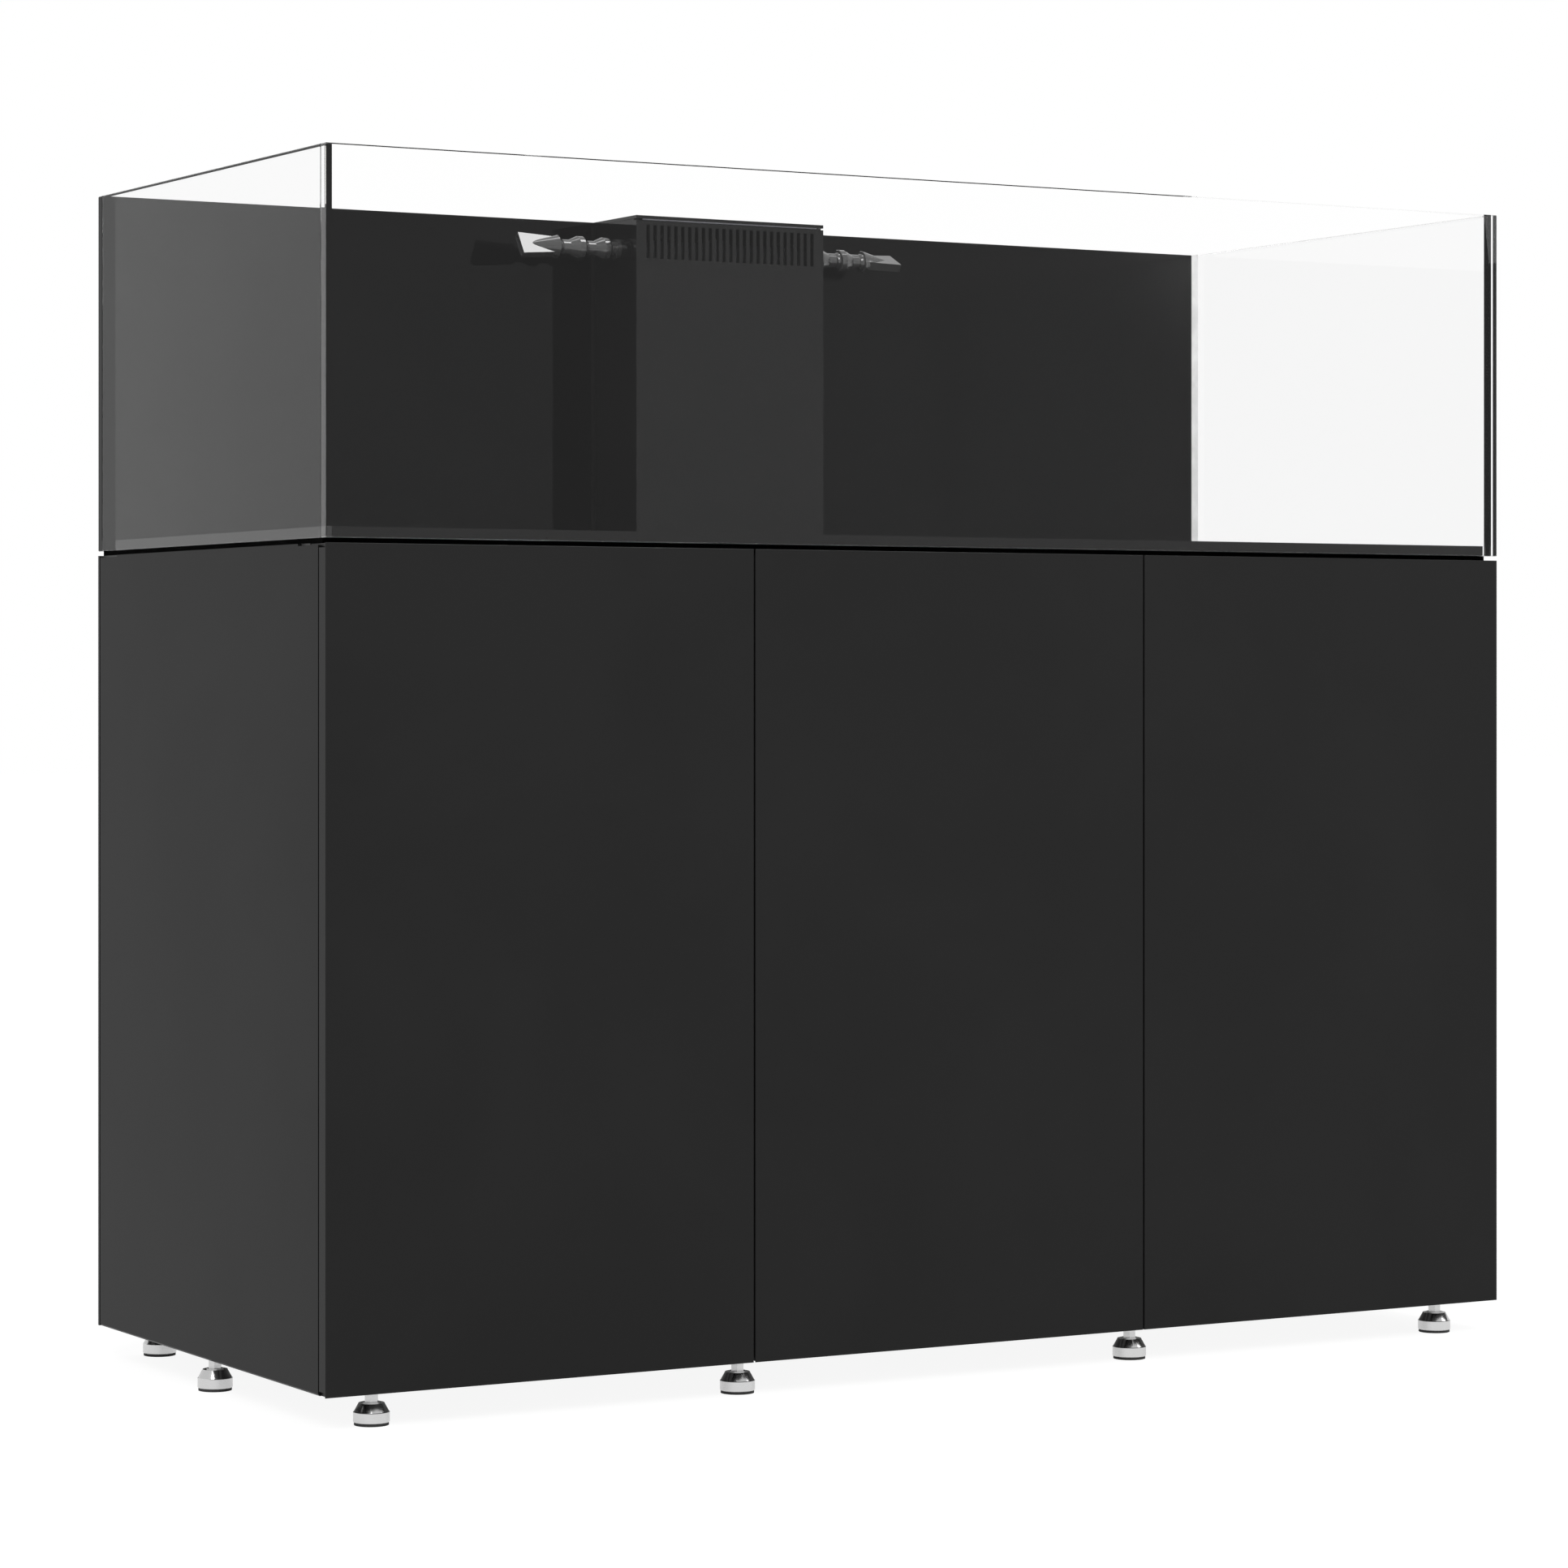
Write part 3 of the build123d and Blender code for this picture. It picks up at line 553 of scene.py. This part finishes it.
slots = {row["node"]: row["material_slot"] for row in frame["record"]["subparts"]}
for name, piece in nodes.items():
    slot = slots[name]
    if slot == DOOR_SLOT:
        finish = lacquer(name + "_lacquer", shade=0.0136, ior=1.16, box=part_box(name))
    else:
        finish = OWN_FINISH.get(name, FINISHES[slot])
    for holder in piece.material_slots:
        holder.material = finish

# Small pieces that the solids leave out
ROOT = "tank_and_cabinet"


def keep(name, mesh, body, finish=None):
    mesh.name = name
    if finish:
        mesh.materials.append(finish)
    piece = bpy.data.objects.new(name, mesh)
    scene.collection.objects.link(piece)
    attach(piece, body)
    return piece


def prism(shape, axis, outline, low, high):
    first, second, along = {"x": (1, 2, 0), "y": (2, 0, 1), "z": (0, 1, 2)}[axis]
    rings = []
    for end in (low, high):
        ring = []
        for a, b in outline:
            point = [0.0, 0.0, 0.0]
            point[first], point[second], point[along] = a, b, end
            ring.append(shape.verts.new(point))
        rings.append(ring)
    start, stop = rings
    shape.faces.new(start)
    shape.faces.new(stop)
    for here in range(len(outline)):
        there = (here + 1) % len(outline)
        shape.faces.new((start[here], start[there], stop[there], stop[here]))


def strip(a0, a1, b0, b1):
    return [(a0, b0), (a1, b0), (a1, b1), (a0, b1)]


def fillet(a, b, a_hand, b_hand, radius, steps=6):
    points = [(a, b)]
    for step in range(steps + 1):
        angle = QUARTER_TURN * step / steps
        reach_a = radius * (1 - math.sin(angle))
        reach_b = radius * (1 - math.cos(angle))
        points.append((a + a_hand * reach_a, b + b_hand * reach_b))
    return points


def finished_mesh(shape):
    bmesh.ops.recalc_face_normals(shape, faces=shape.faces[:])
    mesh = bpy.data.meshes.new("shape")
    shape.to_mesh(mesh)
    shape.free()
    return mesh


# Silicone of the tank: joints that wet the glass on both sides. A joint spans part of the
# thickness of the side pane, measured from its inner face.
WET = 0.00005
JOINT_SPANS = {-1: (0.0, 0.0052), 1: (0.0018, 0.0116)}
JOINT_HOLLOW = 0.00035
JOINT_STEPS = 4
OUTER_LIP = 0.0006
# The right back corner gets a pale joint of painted light instead of black silicone
PALE_CORNER = (1, 1)
inner_x, outer_x = -left_high[0], -left_low[0]
inner_y, pane_y = -front_high[1], left_high[1]


def silicone_joints():
    shape = bmesh.new()
    floor_x = floor_high[0]
    for y_hand in (-1, 1):
        near = y_hand * (pane_y - WET)
        far = y_hand * (inner_y + WET)
        low, high = min(near, far), max(near, far)
        for x_hand in (-1, 1):
            if (x_hand, y_hand) == PALE_CORNER:
                continue
            inside, outside = [inner_x + reach for reach in JOINT_SPANS[x_hand]]
            outline = [(x_hand * inside, high), (x_hand * inside, low)]
            for step in range(JOINT_STEPS + 1):
                dip = JOINT_HOLLOW * math.sin(HALF_TURN * step / JOINT_STEPS)
                y = low + (high - low) * step / JOINT_STEPS
                outline.append((x_hand * (outside - dip), y))
            prism(shape, "z", outline, front_low[2], front_high[2])
            if outside < outer_x - OUTER_LIP:
                lip = sorted((x_hand * (outer_x - OUTER_LIP), x_hand * (outer_x - WET)))
                prism(shape, "z", strip(*lip, low, high), front_low[2], front_high[2])
        prism(shape, "x", strip(low, high, floor_low[2], floor_high[2]), -floor_x, floor_x)
    for x_hand in (-1, 1):
        near = x_hand * (floor_x - WET)
        far = x_hand * (inner_x + WET)
        outline = strip(floor_low[2], floor_high[2], min(near, far), max(near, far))
        prism(shape, "y", outline, -pane_y, pane_y)
    return finished_mesh(shape)


joints = keep("silicone_joints", silicone_joints(), ROOT, FINISHES["silicone"])
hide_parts("silicone_seams")


# Pale joint in the right back corner: painted light, a pale block standing in for the light seen
# through the glass at this corner
def pale_joint():
    shape = bmesh.new()
    across = strip(inner_x, outer_x - WET, pane_y - WET, inner_y + WET)
    prism(shape, "z", across, front_low[2], front_high[2])
    return finished_mesh(shape)


PAINTED_LIGHT_JOINT = moulded("painted_light_joint_finish", grey(0.88), ior=1.3, low=0.3, high=0.4)
keep("pale_joint", pale_joint(), ROOT, PAINTED_LIGHT_JOINT)

# Beads in the corners around the overflow box
OVERFLOW_BEAD = 0.004
weir_low, weir_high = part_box("overflow_weir")
wall_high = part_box("overflow_right_wall")[1]


def overflow_beads():
    shape = bmesh.new()
    floor_z = weir_low[2]
    front_y = weir_low[1]
    back_y = wall_high[1]
    side_x = weir_high[0]
    for hand in (-1, 1):
        upright = fillet(hand * side_x, back_y, hand, -1, OVERFLOW_BEAD)
        prism(shape, "z", upright, floor_z, wall_high[2])
        prism(shape, "y", fillet(floor_z, hand * side_x, 1, hand, OVERFLOW_BEAD), front_y, back_y)
    prism(shape, "x", fillet(front_y, floor_z, -1, 1, OVERFLOW_BEAD), -side_x, side_x)
    return finished_mesh(shape)


BEAD = moulded("silicone_bead", grey(0.003), ior=1.08, low=0.5, high=0.6)
keep("overflow_beads", overflow_beads(), ROOT, BEAD)

# Soft pale strip under the front edge of the overflow lid: painted light, standing in for the
# light that shows through the gap under the lid
STRIP_END = 0.009
STRIP_SETBACK = 0.0004
STRIP_HALF_DEPTH = 0.0015
STRIP_HEIGHT = 0.0018
STRIP_STEPS = 8
lid_low, lid_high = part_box("overflow_lid")


def lid_painted_light_strip():
    shape = bmesh.new()
    middle = lid_low[1] + STRIP_SETBACK + STRIP_HALF_DEPTH
    outline = []
    for step in range(STRIP_STEPS + 1):
        angle = HALF_TURN * step / STRIP_STEPS
        y = middle + STRIP_HALF_DEPTH * math.cos(angle)
        outline.append((y, lid_low[2] + WET - STRIP_HEIGHT * math.sin(angle)))
    prism(shape, "x", outline, lid_low[0] + STRIP_END, lid_high[0] - STRIP_END)
    return finished_mesh(shape)


# Painted light: the strip's pale tone stands in for light seen through the gap under the lid
PAINTED_LIGHT_STRIP = moulded("painted_light_strip_finish", (0.16, 0.16, 0.175), ior=1.3, low=0.3, high=0.4)
keep("lid_painted_light_strip", lid_painted_light_strip(), "overflow_lid", PAINTED_LIGHT_STRIP)

# Silicone of the sump: corners, floor edges and baffles (distance from the left wall, lift)
SUMP_BEAD = 0.004
SUMP_WALL = 0.008
BAFFLE_WALL = 0.006
BAFFLE_HEIGHT = 0.3
BAFFLE_PLACES = ((0.19, 0.0), (0.212, 0.04), (0.234, 0.0), (0.512, 0.0))
sump_low, sump_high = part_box("sump_panes")


def sump_beads():
    shape = bmesh.new()
    left, right = sump_low[0] + SUMP_WALL, sump_high[0] - SUMP_WALL
    near, far = sump_low[1] + SUMP_WALL, sump_high[1] - SUMP_WALL
    bed, brim = sump_low[2] + SUMP_WALL, sump_high[2]
    uprights = [(left, 1, bed, brim), (right, -1, bed, brim)]
    feet = [(left, 1), (right, -1)]
    for offset, lift in BAFFLE_PLACES:
        for x, hand in ((left + offset, -1), (left + offset + BAFFLE_WALL, 1)):
            uprights.append((x, hand, bed + lift, bed + lift + BAFFLE_HEIGHT))
            if not lift:
                feet.append((x, hand))
    for x, hand, low, high in uprights:
        prism(shape, "z", fillet(x, near, hand, 1, SUMP_BEAD), low, high)
        prism(shape, "z", fillet(x, far, hand, -1, SUMP_BEAD), low, high)
    for x, hand in feet:
        prism(shape, "y", fillet(bed, x, 1, hand, SUMP_BEAD), near, far)
    for y, hand in ((near, 1), (far, -1)):
        prism(shape, "x", fillet(y, bed, hand, 1, SUMP_BEAD), left, right)
    return finished_mesh(shape)


SUMP_SILICONE = moulded("sump_silicone", grey(0.012), ior=1.3, low=0.3, high=0.42)
keep("sump_beads", sump_beads(), ROOT, SUMP_SILICONE)


# Node trees for the fittings that repeat
def vector(tree, x, y, z):
    return part(tree, "ShaderNodeCombineXYZ", X=x, Y=y, Z=z)


def shifted(tree, shape, place, turn=(0, 0, 0)):
    return part(tree, "GeometryNodeTransform", Geometry=shape, Translation=place, Rotation=turn)


def joined(tree, *shapes):
    made = tree.nodes.new("GeometryNodeJoinGeometry")
    for shape in reversed(shapes):
        link(tree, shape, made.inputs[0])
    return made.outputs[0]


HEAD_SIDES = 24
HEAD_TAPER = 0.86
KEY_SIDES = 6
KEY_LIFT = 0.9
SCREW_SIZES = [("Radius", FLOAT, 0.005), ("Height", FLOAT, 0.003), ("Socket", FLOAT, 0.0025)]


def make_screw_head():
    tree, start, end = new_group(
        "socket_screw_head", SCREW_SIZES, [("Head", SHAPE)], "GeometryNodeTree"
    )
    radius, height, socket = [start.outputs[label] for label, kind, value in SCREW_SIZES]
    head = part(
        tree,
        "GeometryNodeMeshCone",
        Vertices=HEAD_SIDES,
        Radius_Top=times(tree, radius, HEAD_TAPER),
        Radius_Bottom=radius,
        Depth=height,
    )
    key = part(
        tree, "GeometryNodeMeshCylinder", Vertices=KEY_SIDES, Radius=socket, Depth=height
    )
    key = shifted(tree, key, vector(tree, 0, 0, times(tree, height, KEY_LIFT)))
    cut = part(
        tree, "GeometryNodeMeshBoolean", operation="DIFFERENCE", Mesh_1=head, Mesh_2=key
    )
    link(tree, cut, end.inputs["Head"])
    return tree


SCREW_HEAD = make_screw_head()


def screw_head(tree, radius, height, socket):
    return part(
        tree,
        "GeometryNodeGroup",
        node_tree=SCREW_HEAD,
        Radius=radius,
        Height=height,
        Socket=socket,
    )


def set_out(tree, start, end, shape):
    turn = node(
        tree, "GeometryNodeInputNamedAttribute", data_type="FLOAT_VECTOR", Name="turn"
    ).outputs["Attribute"]
    copies = part(
        tree,
        "GeometryNodeInstanceOnPoints",
        Points=start.outputs["Places"],
        Instance=shape,
        Rotation=part(tree, "FunctionNodeEulerToRotation", Euler=turn),
    )
    real = part(tree, "GeometryNodeRealizeInstances", Geometry=copies)
    finish = start.outputs["Finish"]
    dressed = part(tree, "GeometryNodeSetMaterial", Geometry=real, Material=finish)
    link(tree, dressed, end.inputs["Shape"])


def make_screws():
    inputs = [("Places", SHAPE, None), *SCREW_SIZES, ("Finish", FINISH, None)]
    tree, start, end = new_group("screws", inputs, [("Shape", SHAPE)], "GeometryNodeTree")
    sizes = [start.outputs[label] for label, kind, value in SCREW_SIZES]
    set_out(tree, start, end, screw_head(tree, *sizes))
    return tree


WEB_HOLLOW = 0.42
BOLT_SEAT = 0.6
BOLT_SOCKET = 0.5


def make_brackets():
    inputs = [
        ("Places", SHAPE, None),
        ("Leg", FLOAT, 0.028),
        ("Width", FLOAT, 0.028),
        ("Wall", FLOAT, 0.004),
        ("Web", FLOAT, 0.0035),
        ("Bolt Radius", FLOAT, 0.005),
        ("Bolt Height", FLOAT, 0.0035),
        ("Finish", FINISH, None),
    ]
    tree, start, end = new_group("frame_brackets", inputs, [("Shape", SHAPE)], "GeometryNodeTree")
    leg, width, wall, web, bolt_radius, bolt_height = [
        start.outputs[label] for label, kind, value in inputs[1:-1]
    ]
    half_leg, half_width, half_wall = [times(tree, size, 0.5) for size in (leg, width, wall)]
    flat = part(tree, "GeometryNodeMeshCube", Size=vector(tree, leg, width, wall))
    flat = shifted(tree, flat, vector(tree, half_leg, 0, half_wall))
    upright = part(tree, "GeometryNodeMeshCube", Size=vector(tree, wall, width, leg))
    upright = shifted(tree, upright, vector(tree, half_wall, 0, half_leg))
    brow = times(tree, leg, WEB_HOLLOW)
    outline = part(
        tree,
        "GeometryNodeCurvePrimitiveQuadrilateral",
        mode="POINTS",
        Point_1=vector(tree, 0, 0, 0),
        Point_2=vector(tree, leg, 0, 0),
        Point_3=vector(tree, brow, brow, 0),
        Point_4=vector(tree, 0, leg, 0),
    )
    sheet = part(tree, "GeometryNodeFillCurve", mode="NGONS", Curve=outline)
    grown = part(
        tree, "GeometryNodeExtrudeMesh", Mesh=sheet, Offset_Scale=web, Individual=False
    )
    underside = part(tree, "GeometryNodeFlipFaces", Mesh=sheet)
    cheek = part(tree, "GeometryNodeMergeByDistance", Geometry=joined(tree, grown, underside))
    stand = (QUARTER_TURN, 0, 0)
    near = shifted(tree, cheek, vector(tree, 0, half_width, 0), stand)
    far_y = math_node(tree, "SUBTRACT", web, half_width)
    far = shifted(tree, cheek, vector(tree, 0, far_y, 0), stand)
    bolt = screw_head(tree, bolt_radius, bolt_height, times(tree, bolt_radius, BOLT_SOCKET))
    seat = times(tree, leg, BOLT_SEAT)
    flat_bolt = shifted(tree, bolt, vector(tree, seat, 0, wall))
    upright_bolt = shifted(tree, bolt, vector(tree, wall, 0, seat), (0, QUARTER_TURN, 0))
    set_out(tree, start, end, joined(tree, flat, upright, near, far, flat_bolt, upright_bolt))
    return tree


OPENING_STEPS = 8
SECTION_STEPS = 4


def make_edging():
    inputs = [
        ("Places", SHAPE, None),
        ("Width", FLOAT, 0.16),
        ("Height", FLOAT, 0.1),
        ("Corner", FLOAT, 0.008),
        ("Thickness", FLOAT, 0.003),
        ("Depth", FLOAT, 0.007),
        ("Round", FLOAT, 0.001),
        ("Finish", FINISH, None),
    ]
    tree, start, end = new_group("cable_edging", inputs, [("Shape", SHAPE)], "GeometryNodeTree")
    width, height, corner, thick, depth, edge = [
        start.outputs[label] for label, kind, value in inputs[1:-1]
    ]

    def rounded(wide, tall, radius, steps):
        line = part(
            tree, "GeometryNodeCurvePrimitiveQuadrilateral", Width=wide, Height=tall
        )
        return part(
            tree,
            "GeometryNodeFilletCurve",
            mode="POLY",
            Curve=line,
            Radius=radius,
            Limit_Radius=True,
            Count=steps,
        )

    # The path runs along the middle of the rubber
    path = rounded(
        math_node(tree, "SUBTRACT", width, thick),
        math_node(tree, "SUBTRACT", height, thick),
        math_node(tree, "SUBTRACT", corner, times(tree, thick, 0.5)),
        OPENING_STEPS,
    )
    section = rounded(thick, depth, edge, SECTION_STEPS)
    tube = part(tree, "GeometryNodeCurveToMesh", Curve=path, Profile_Curve=section)
    set_out(tree, start, end, tube)
    return tree


SCREWS = make_screws()
BRACKETS = make_brackets()
EDGING = make_edging()


def fitted(name, tree, places, body, slot, **sizes):
    mesh = bpy.data.meshes.new(name + "_places")
    mesh.from_pydata([place for place, turn in places], [], [])
    turns = mesh.attributes.new("turn", "FLOAT_VECTOR", "POINT")
    turns.data.foreach_set("vector", [angle for place, turn in places for angle in turn])
    carrier = bpy.data.objects.new(name + "_places", mesh)
    scene.collection.objects.link(carrier)
    maker = carrier.modifiers.new("maker", "NODES")
    maker.node_group = tree
    items = tree.interface.items_tree
    sockets = {item.name: item.identifier for item in items if item.in_out == "INPUT"}
    for label, value in sizes.items():
        maker[sockets[label]] = value
    seen = carrier.evaluated_get(bpy.context.evaluated_depsgraph_get())
    made = bpy.data.meshes.new_from_object(seen)
    made.materials.clear()
    made.materials.append(sizes["Finish"])
    made.polygons.foreach_set("material_index", [0] * len(made.polygons))
    carrier.modifiers.remove(maker)
    bpy.data.objects.remove(carrier)
    keep(name, made, body)


FACE_DOWN = (HALF_TURN, 0, 0)
FACE_UP = (0, 0, 0)
FACE_FRONT = (QUARTER_TURN, 0, 0)
FACE_RIGHT = (0, QUARTER_TURN, 0)
SCREW_STEEL = metal("screw_steel", grey(0.32), low=0.22, high=0.34)
CAST_ALLOY = metal("bracket_alloy", grey(0.16), low=0.32, high=0.46, stretch=EVEN)
RUBBER = moulded("edging_rubber", grey(0.012), ior=1.35, low=0.5, high=0.65)

# Brackets in the corners under the top rails
PROFILE = 0.03
HALF_PROFILE = PROFILE / 2
DOORS = 3
posts_low, posts_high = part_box("frame_posts")
rail_z = posts_high[2]
post_y = {"front": posts_low[1] + HALF_PROFILE, "back": posts_high[1] - HALF_PROFILE}
end_x = posts_high[0] - HALF_PROFILE
cabinet_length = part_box("right_side_panel")[1][0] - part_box("left_side_panel")[0][0]
middle_x = cabinet_length / (2 * DOORS)
bracket_places = []
for row, y in post_y.items():
    inwards = 1 if row == "front" else -1
    for x in (-end_x, -middle_x, middle_x, end_x):
        if x < end_x:
            bracket_places.append(((x + HALF_PROFILE, y, rail_z), (HALF_TURN, 0, 0)))
        if x > -end_x:
            bracket_places.append(((x - HALF_PROFILE, y, rail_z), (0, HALF_TURN, 0)))
        place = (x, y + inwards * HALF_PROFILE, rail_z)
        bracket_places.append((place, (HALF_TURN, 0, inwards * QUARTER_TURN)))
fitted("frame_brackets", BRACKETS, bracket_places, ROOT, "frame_aluminium", Finish=CAST_ALLOY)


# Screws: deck, hinge arms, pump, valve lever and valve wheel
def screws(name, places, body, radius, height, socket):
    fitted(
        name,
        SCREWS,
        places,
        body,
        "hinge_steel",
        Radius=radius,
        Height=height,
        Socket=socket,
        Finish=SCREW_STEEL,
    )


DECK_ROW = 0.4905
DECK_SIDE_ROWS = (-0.13, 0.15)
deck_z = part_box("floor_deck")[1][2]
deck_places = []
for x in (-DECK_ROW, 0.0, DECK_ROW):
    deck_places += [((x, y, deck_z), FACE_UP) for y in post_y.values()]
for x in (-end_x, end_x):
    deck_places += [((x, y, deck_z), FACE_UP) for y in DECK_SIDE_ROWS]
screws("deck_screws", deck_places, ROOT, radius=0.0055, height=0.003, socket=0.0022)

HINGE_AXIS_IN = 0.006
HINGE_SCREW_OFFSETS = (0.01, 0.024)
arms_low, arms_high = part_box("hinge_arms")
arm_y = (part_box("long_rails")[0][1] + arms_high[1]) / 2
hinge_places = []
for door, hand in (("left_door", 1), ("centre_door", 1), ("right_door", -1)):
    low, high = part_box(door)
    axis_x = low[0] + HINGE_AXIS_IN if hand > 0 else high[0] - HINGE_AXIS_IN
    for offset in HINGE_SCREW_OFFSETS:
        hinge_places.append(((axis_x + hand * offset, arm_y, arms_low[2]), FACE_DOWN))
screws("hinge_screws", hinge_places, ROOT, radius=0.004, height=0.0014, socket=0.0018)

VOLUTE_BACK = 0.025
PUMP_RING = 0.033
PUMP_SCREWS = 6
PUMP_AXIS_UP = 0.053
pump_low, pump_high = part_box("return_pump")
pump_x = pump_high[0] - VOLUTE_BACK
pump_y = (pump_low[1] + pump_high[1]) / 2
pump_z = pump_low[2] + PUMP_AXIS_UP
pump_places = []
for number in range(PUMP_SCREWS):
    angle = 2 * HALF_TURN * (number + 0.5) / PUMP_SCREWS
    y = pump_y + PUMP_RING * math.cos(angle)
    z = pump_z + PUMP_RING * math.sin(angle)
    pump_places.append(((pump_x, y, z), FACE_RIGHT))
screws("pump_screws", pump_places, ROOT, radius=0.0035, height=0.0025, socket=0.0016)

LEVER_HUB = 0.011
lever_low, lever_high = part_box("return_valve_lever")
lever_place = ((lever_low[0] + lever_high[0]) / 2, lever_low[1], lever_low[2] + LEVER_HUB)
wheel_low, wheel_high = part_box("drain_valve_wheel")
wheel_z = (wheel_low[2] + wheel_high[2]) / 2
wheel_place = ((wheel_low[0] + wheel_high[0]) / 2, wheel_low[1], wheel_z)
for name, body, place in (
    ("lever_screw", "return_valve_lever", lever_place),
    ("wheel_screw", "drain_valve_wheel", wheel_place),
):
    screws(name, [(place, FACE_FRONT)], body, radius=0.0055, height=0.003, socket=0.0025)

# Rubber edging in the two cable openings of the back panel
EDGING_SHY = 0.0002
EDGING_DEPTH = 0.007
CABLE_DROP = 0.16
CABLE_WIDTH = 0.16
CABLE_HEIGHT = 0.1
rear_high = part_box("back_panel")[1]
edging_y = rear_high[1] - EDGING_SHY - EDGING_DEPTH / 2
edging_z = rear_high[2] - CABLE_DROP - CABLE_HEIGHT / 2
edging_places = [((hand * 2 * middle_x, edging_y, edging_z), FACE_FRONT) for hand in (-1, 1)]
fitted(
    "cable_edging",
    EDGING,
    edging_places,
    ROOT,
    "mat_foam",
    Width=CABLE_WIDTH,
    Height=CABLE_HEIGHT,
    Depth=EDGING_DEPTH,
    Finish=RUBBER,
)

# Floor, world and lamps
FLOOR_HALF = 30.0
FLOOR_TONE = 0.8
FLOOR_SHADE = 0.14
FLOOR_GLOW = 0.91
AMBIENT = 0.75
WHITE = (1, 1, 1, 1)

floor_mesh = bpy.data.meshes.new("floor")
square = strip(-FLOOR_HALF, FLOOR_HALF, -FLOOR_HALF, FLOOR_HALF)
floor_mesh.from_pydata([(x, y, 0) for x, y in square], [], [(0, 1, 2, 3)])
floor = bpy.data.objects.new("floor", floor_mesh)
scene.collection.objects.link(floor)


def seen_directly(tree):
    path = tree.nodes.new("ShaderNodeLightPath").outputs
    seen = math_node(tree, "MAXIMUM", path["Is Camera Ray"], path["Is Glossy Ray"])
    return math_node(tree, "MAXIMUM", seen, path["Is Transmission Ray"])


floor_finish = bpy.data.materials.new("pale_floor")
floor_finish.use_nodes = True
tree = floor_finish.node_tree
tree.nodes.clear()
plain = part(tree, "ShaderNodeBsdfDiffuse", Color=rgba(grey(FLOOR_TONE)))
shade = part(tree, "ShaderNodeBsdfDiffuse", Color=rgba(grey(FLOOR_SHADE)))
glow = part(tree, "ShaderNodeEmission", Color=WHITE, Strength=FLOOR_GLOW)
white = node(tree, "ShaderNodeAddShader")
link(tree, shade, white.inputs[0])
link(tree, glow, white.inputs[1])
choice = node(tree, "ShaderNodeMixShader")
link(tree, seen_directly(tree), choice.inputs[0])
link(tree, plain, choice.inputs[1])
link(tree, white.outputs[0], choice.inputs[2])
node(tree, "ShaderNodeOutputMaterial", Surface=choice.outputs[0])
floor.data.materials.append(floor_finish)

world = bpy.data.worlds.new("studio")
scene.world = world
world.use_nodes = True
tree = world.node_tree
background = tree.nodes["Background"]
background.inputs["Color"].default_value = WHITE
strength = node(
    tree, "ShaderNodeMapRange", Value=seen_directly(tree), To_Min=AMBIENT, To_Max=1.0
)
link(tree, strength.outputs["Result"], background.inputs["Strength"])


def softbox(name, place, target, side, power):
    lamp = bpy.data.lights.new(name, "AREA")
    lamp.shape = "RECTANGLE"
    lamp.size = lamp.size_y = side
    lamp.energy = power
    holder = bpy.data.objects.new(name, lamp)
    holder.location = place
    aim = Vector(target) - Vector(place)
    holder.rotation_euler = aim.to_track_quat("-Z", "Y").to_euler()
    holder.visible_camera = False
    scene.collection.objects.link(holder)


CABINET_MIDDLE = (0, 0, 0.7)
softbox("key_softbox", (-3.4, -3.6, 4.2), CABINET_MIDDLE, side=2.4, power=150)
softbox("fill_softbox", (4.0, -3.0, 2.6), CABINET_MIDDLE, side=2.0, power=45)
softbox("top_softbox", (1.3, -0.7, 4.2), (0, 0.2, 1.2), side=1.0, power=30)
softbox("overhead_softbox", (-0.15, 0.15, 4.2), (-0.15, 0.15, 1.2), side=0.8, power=10)
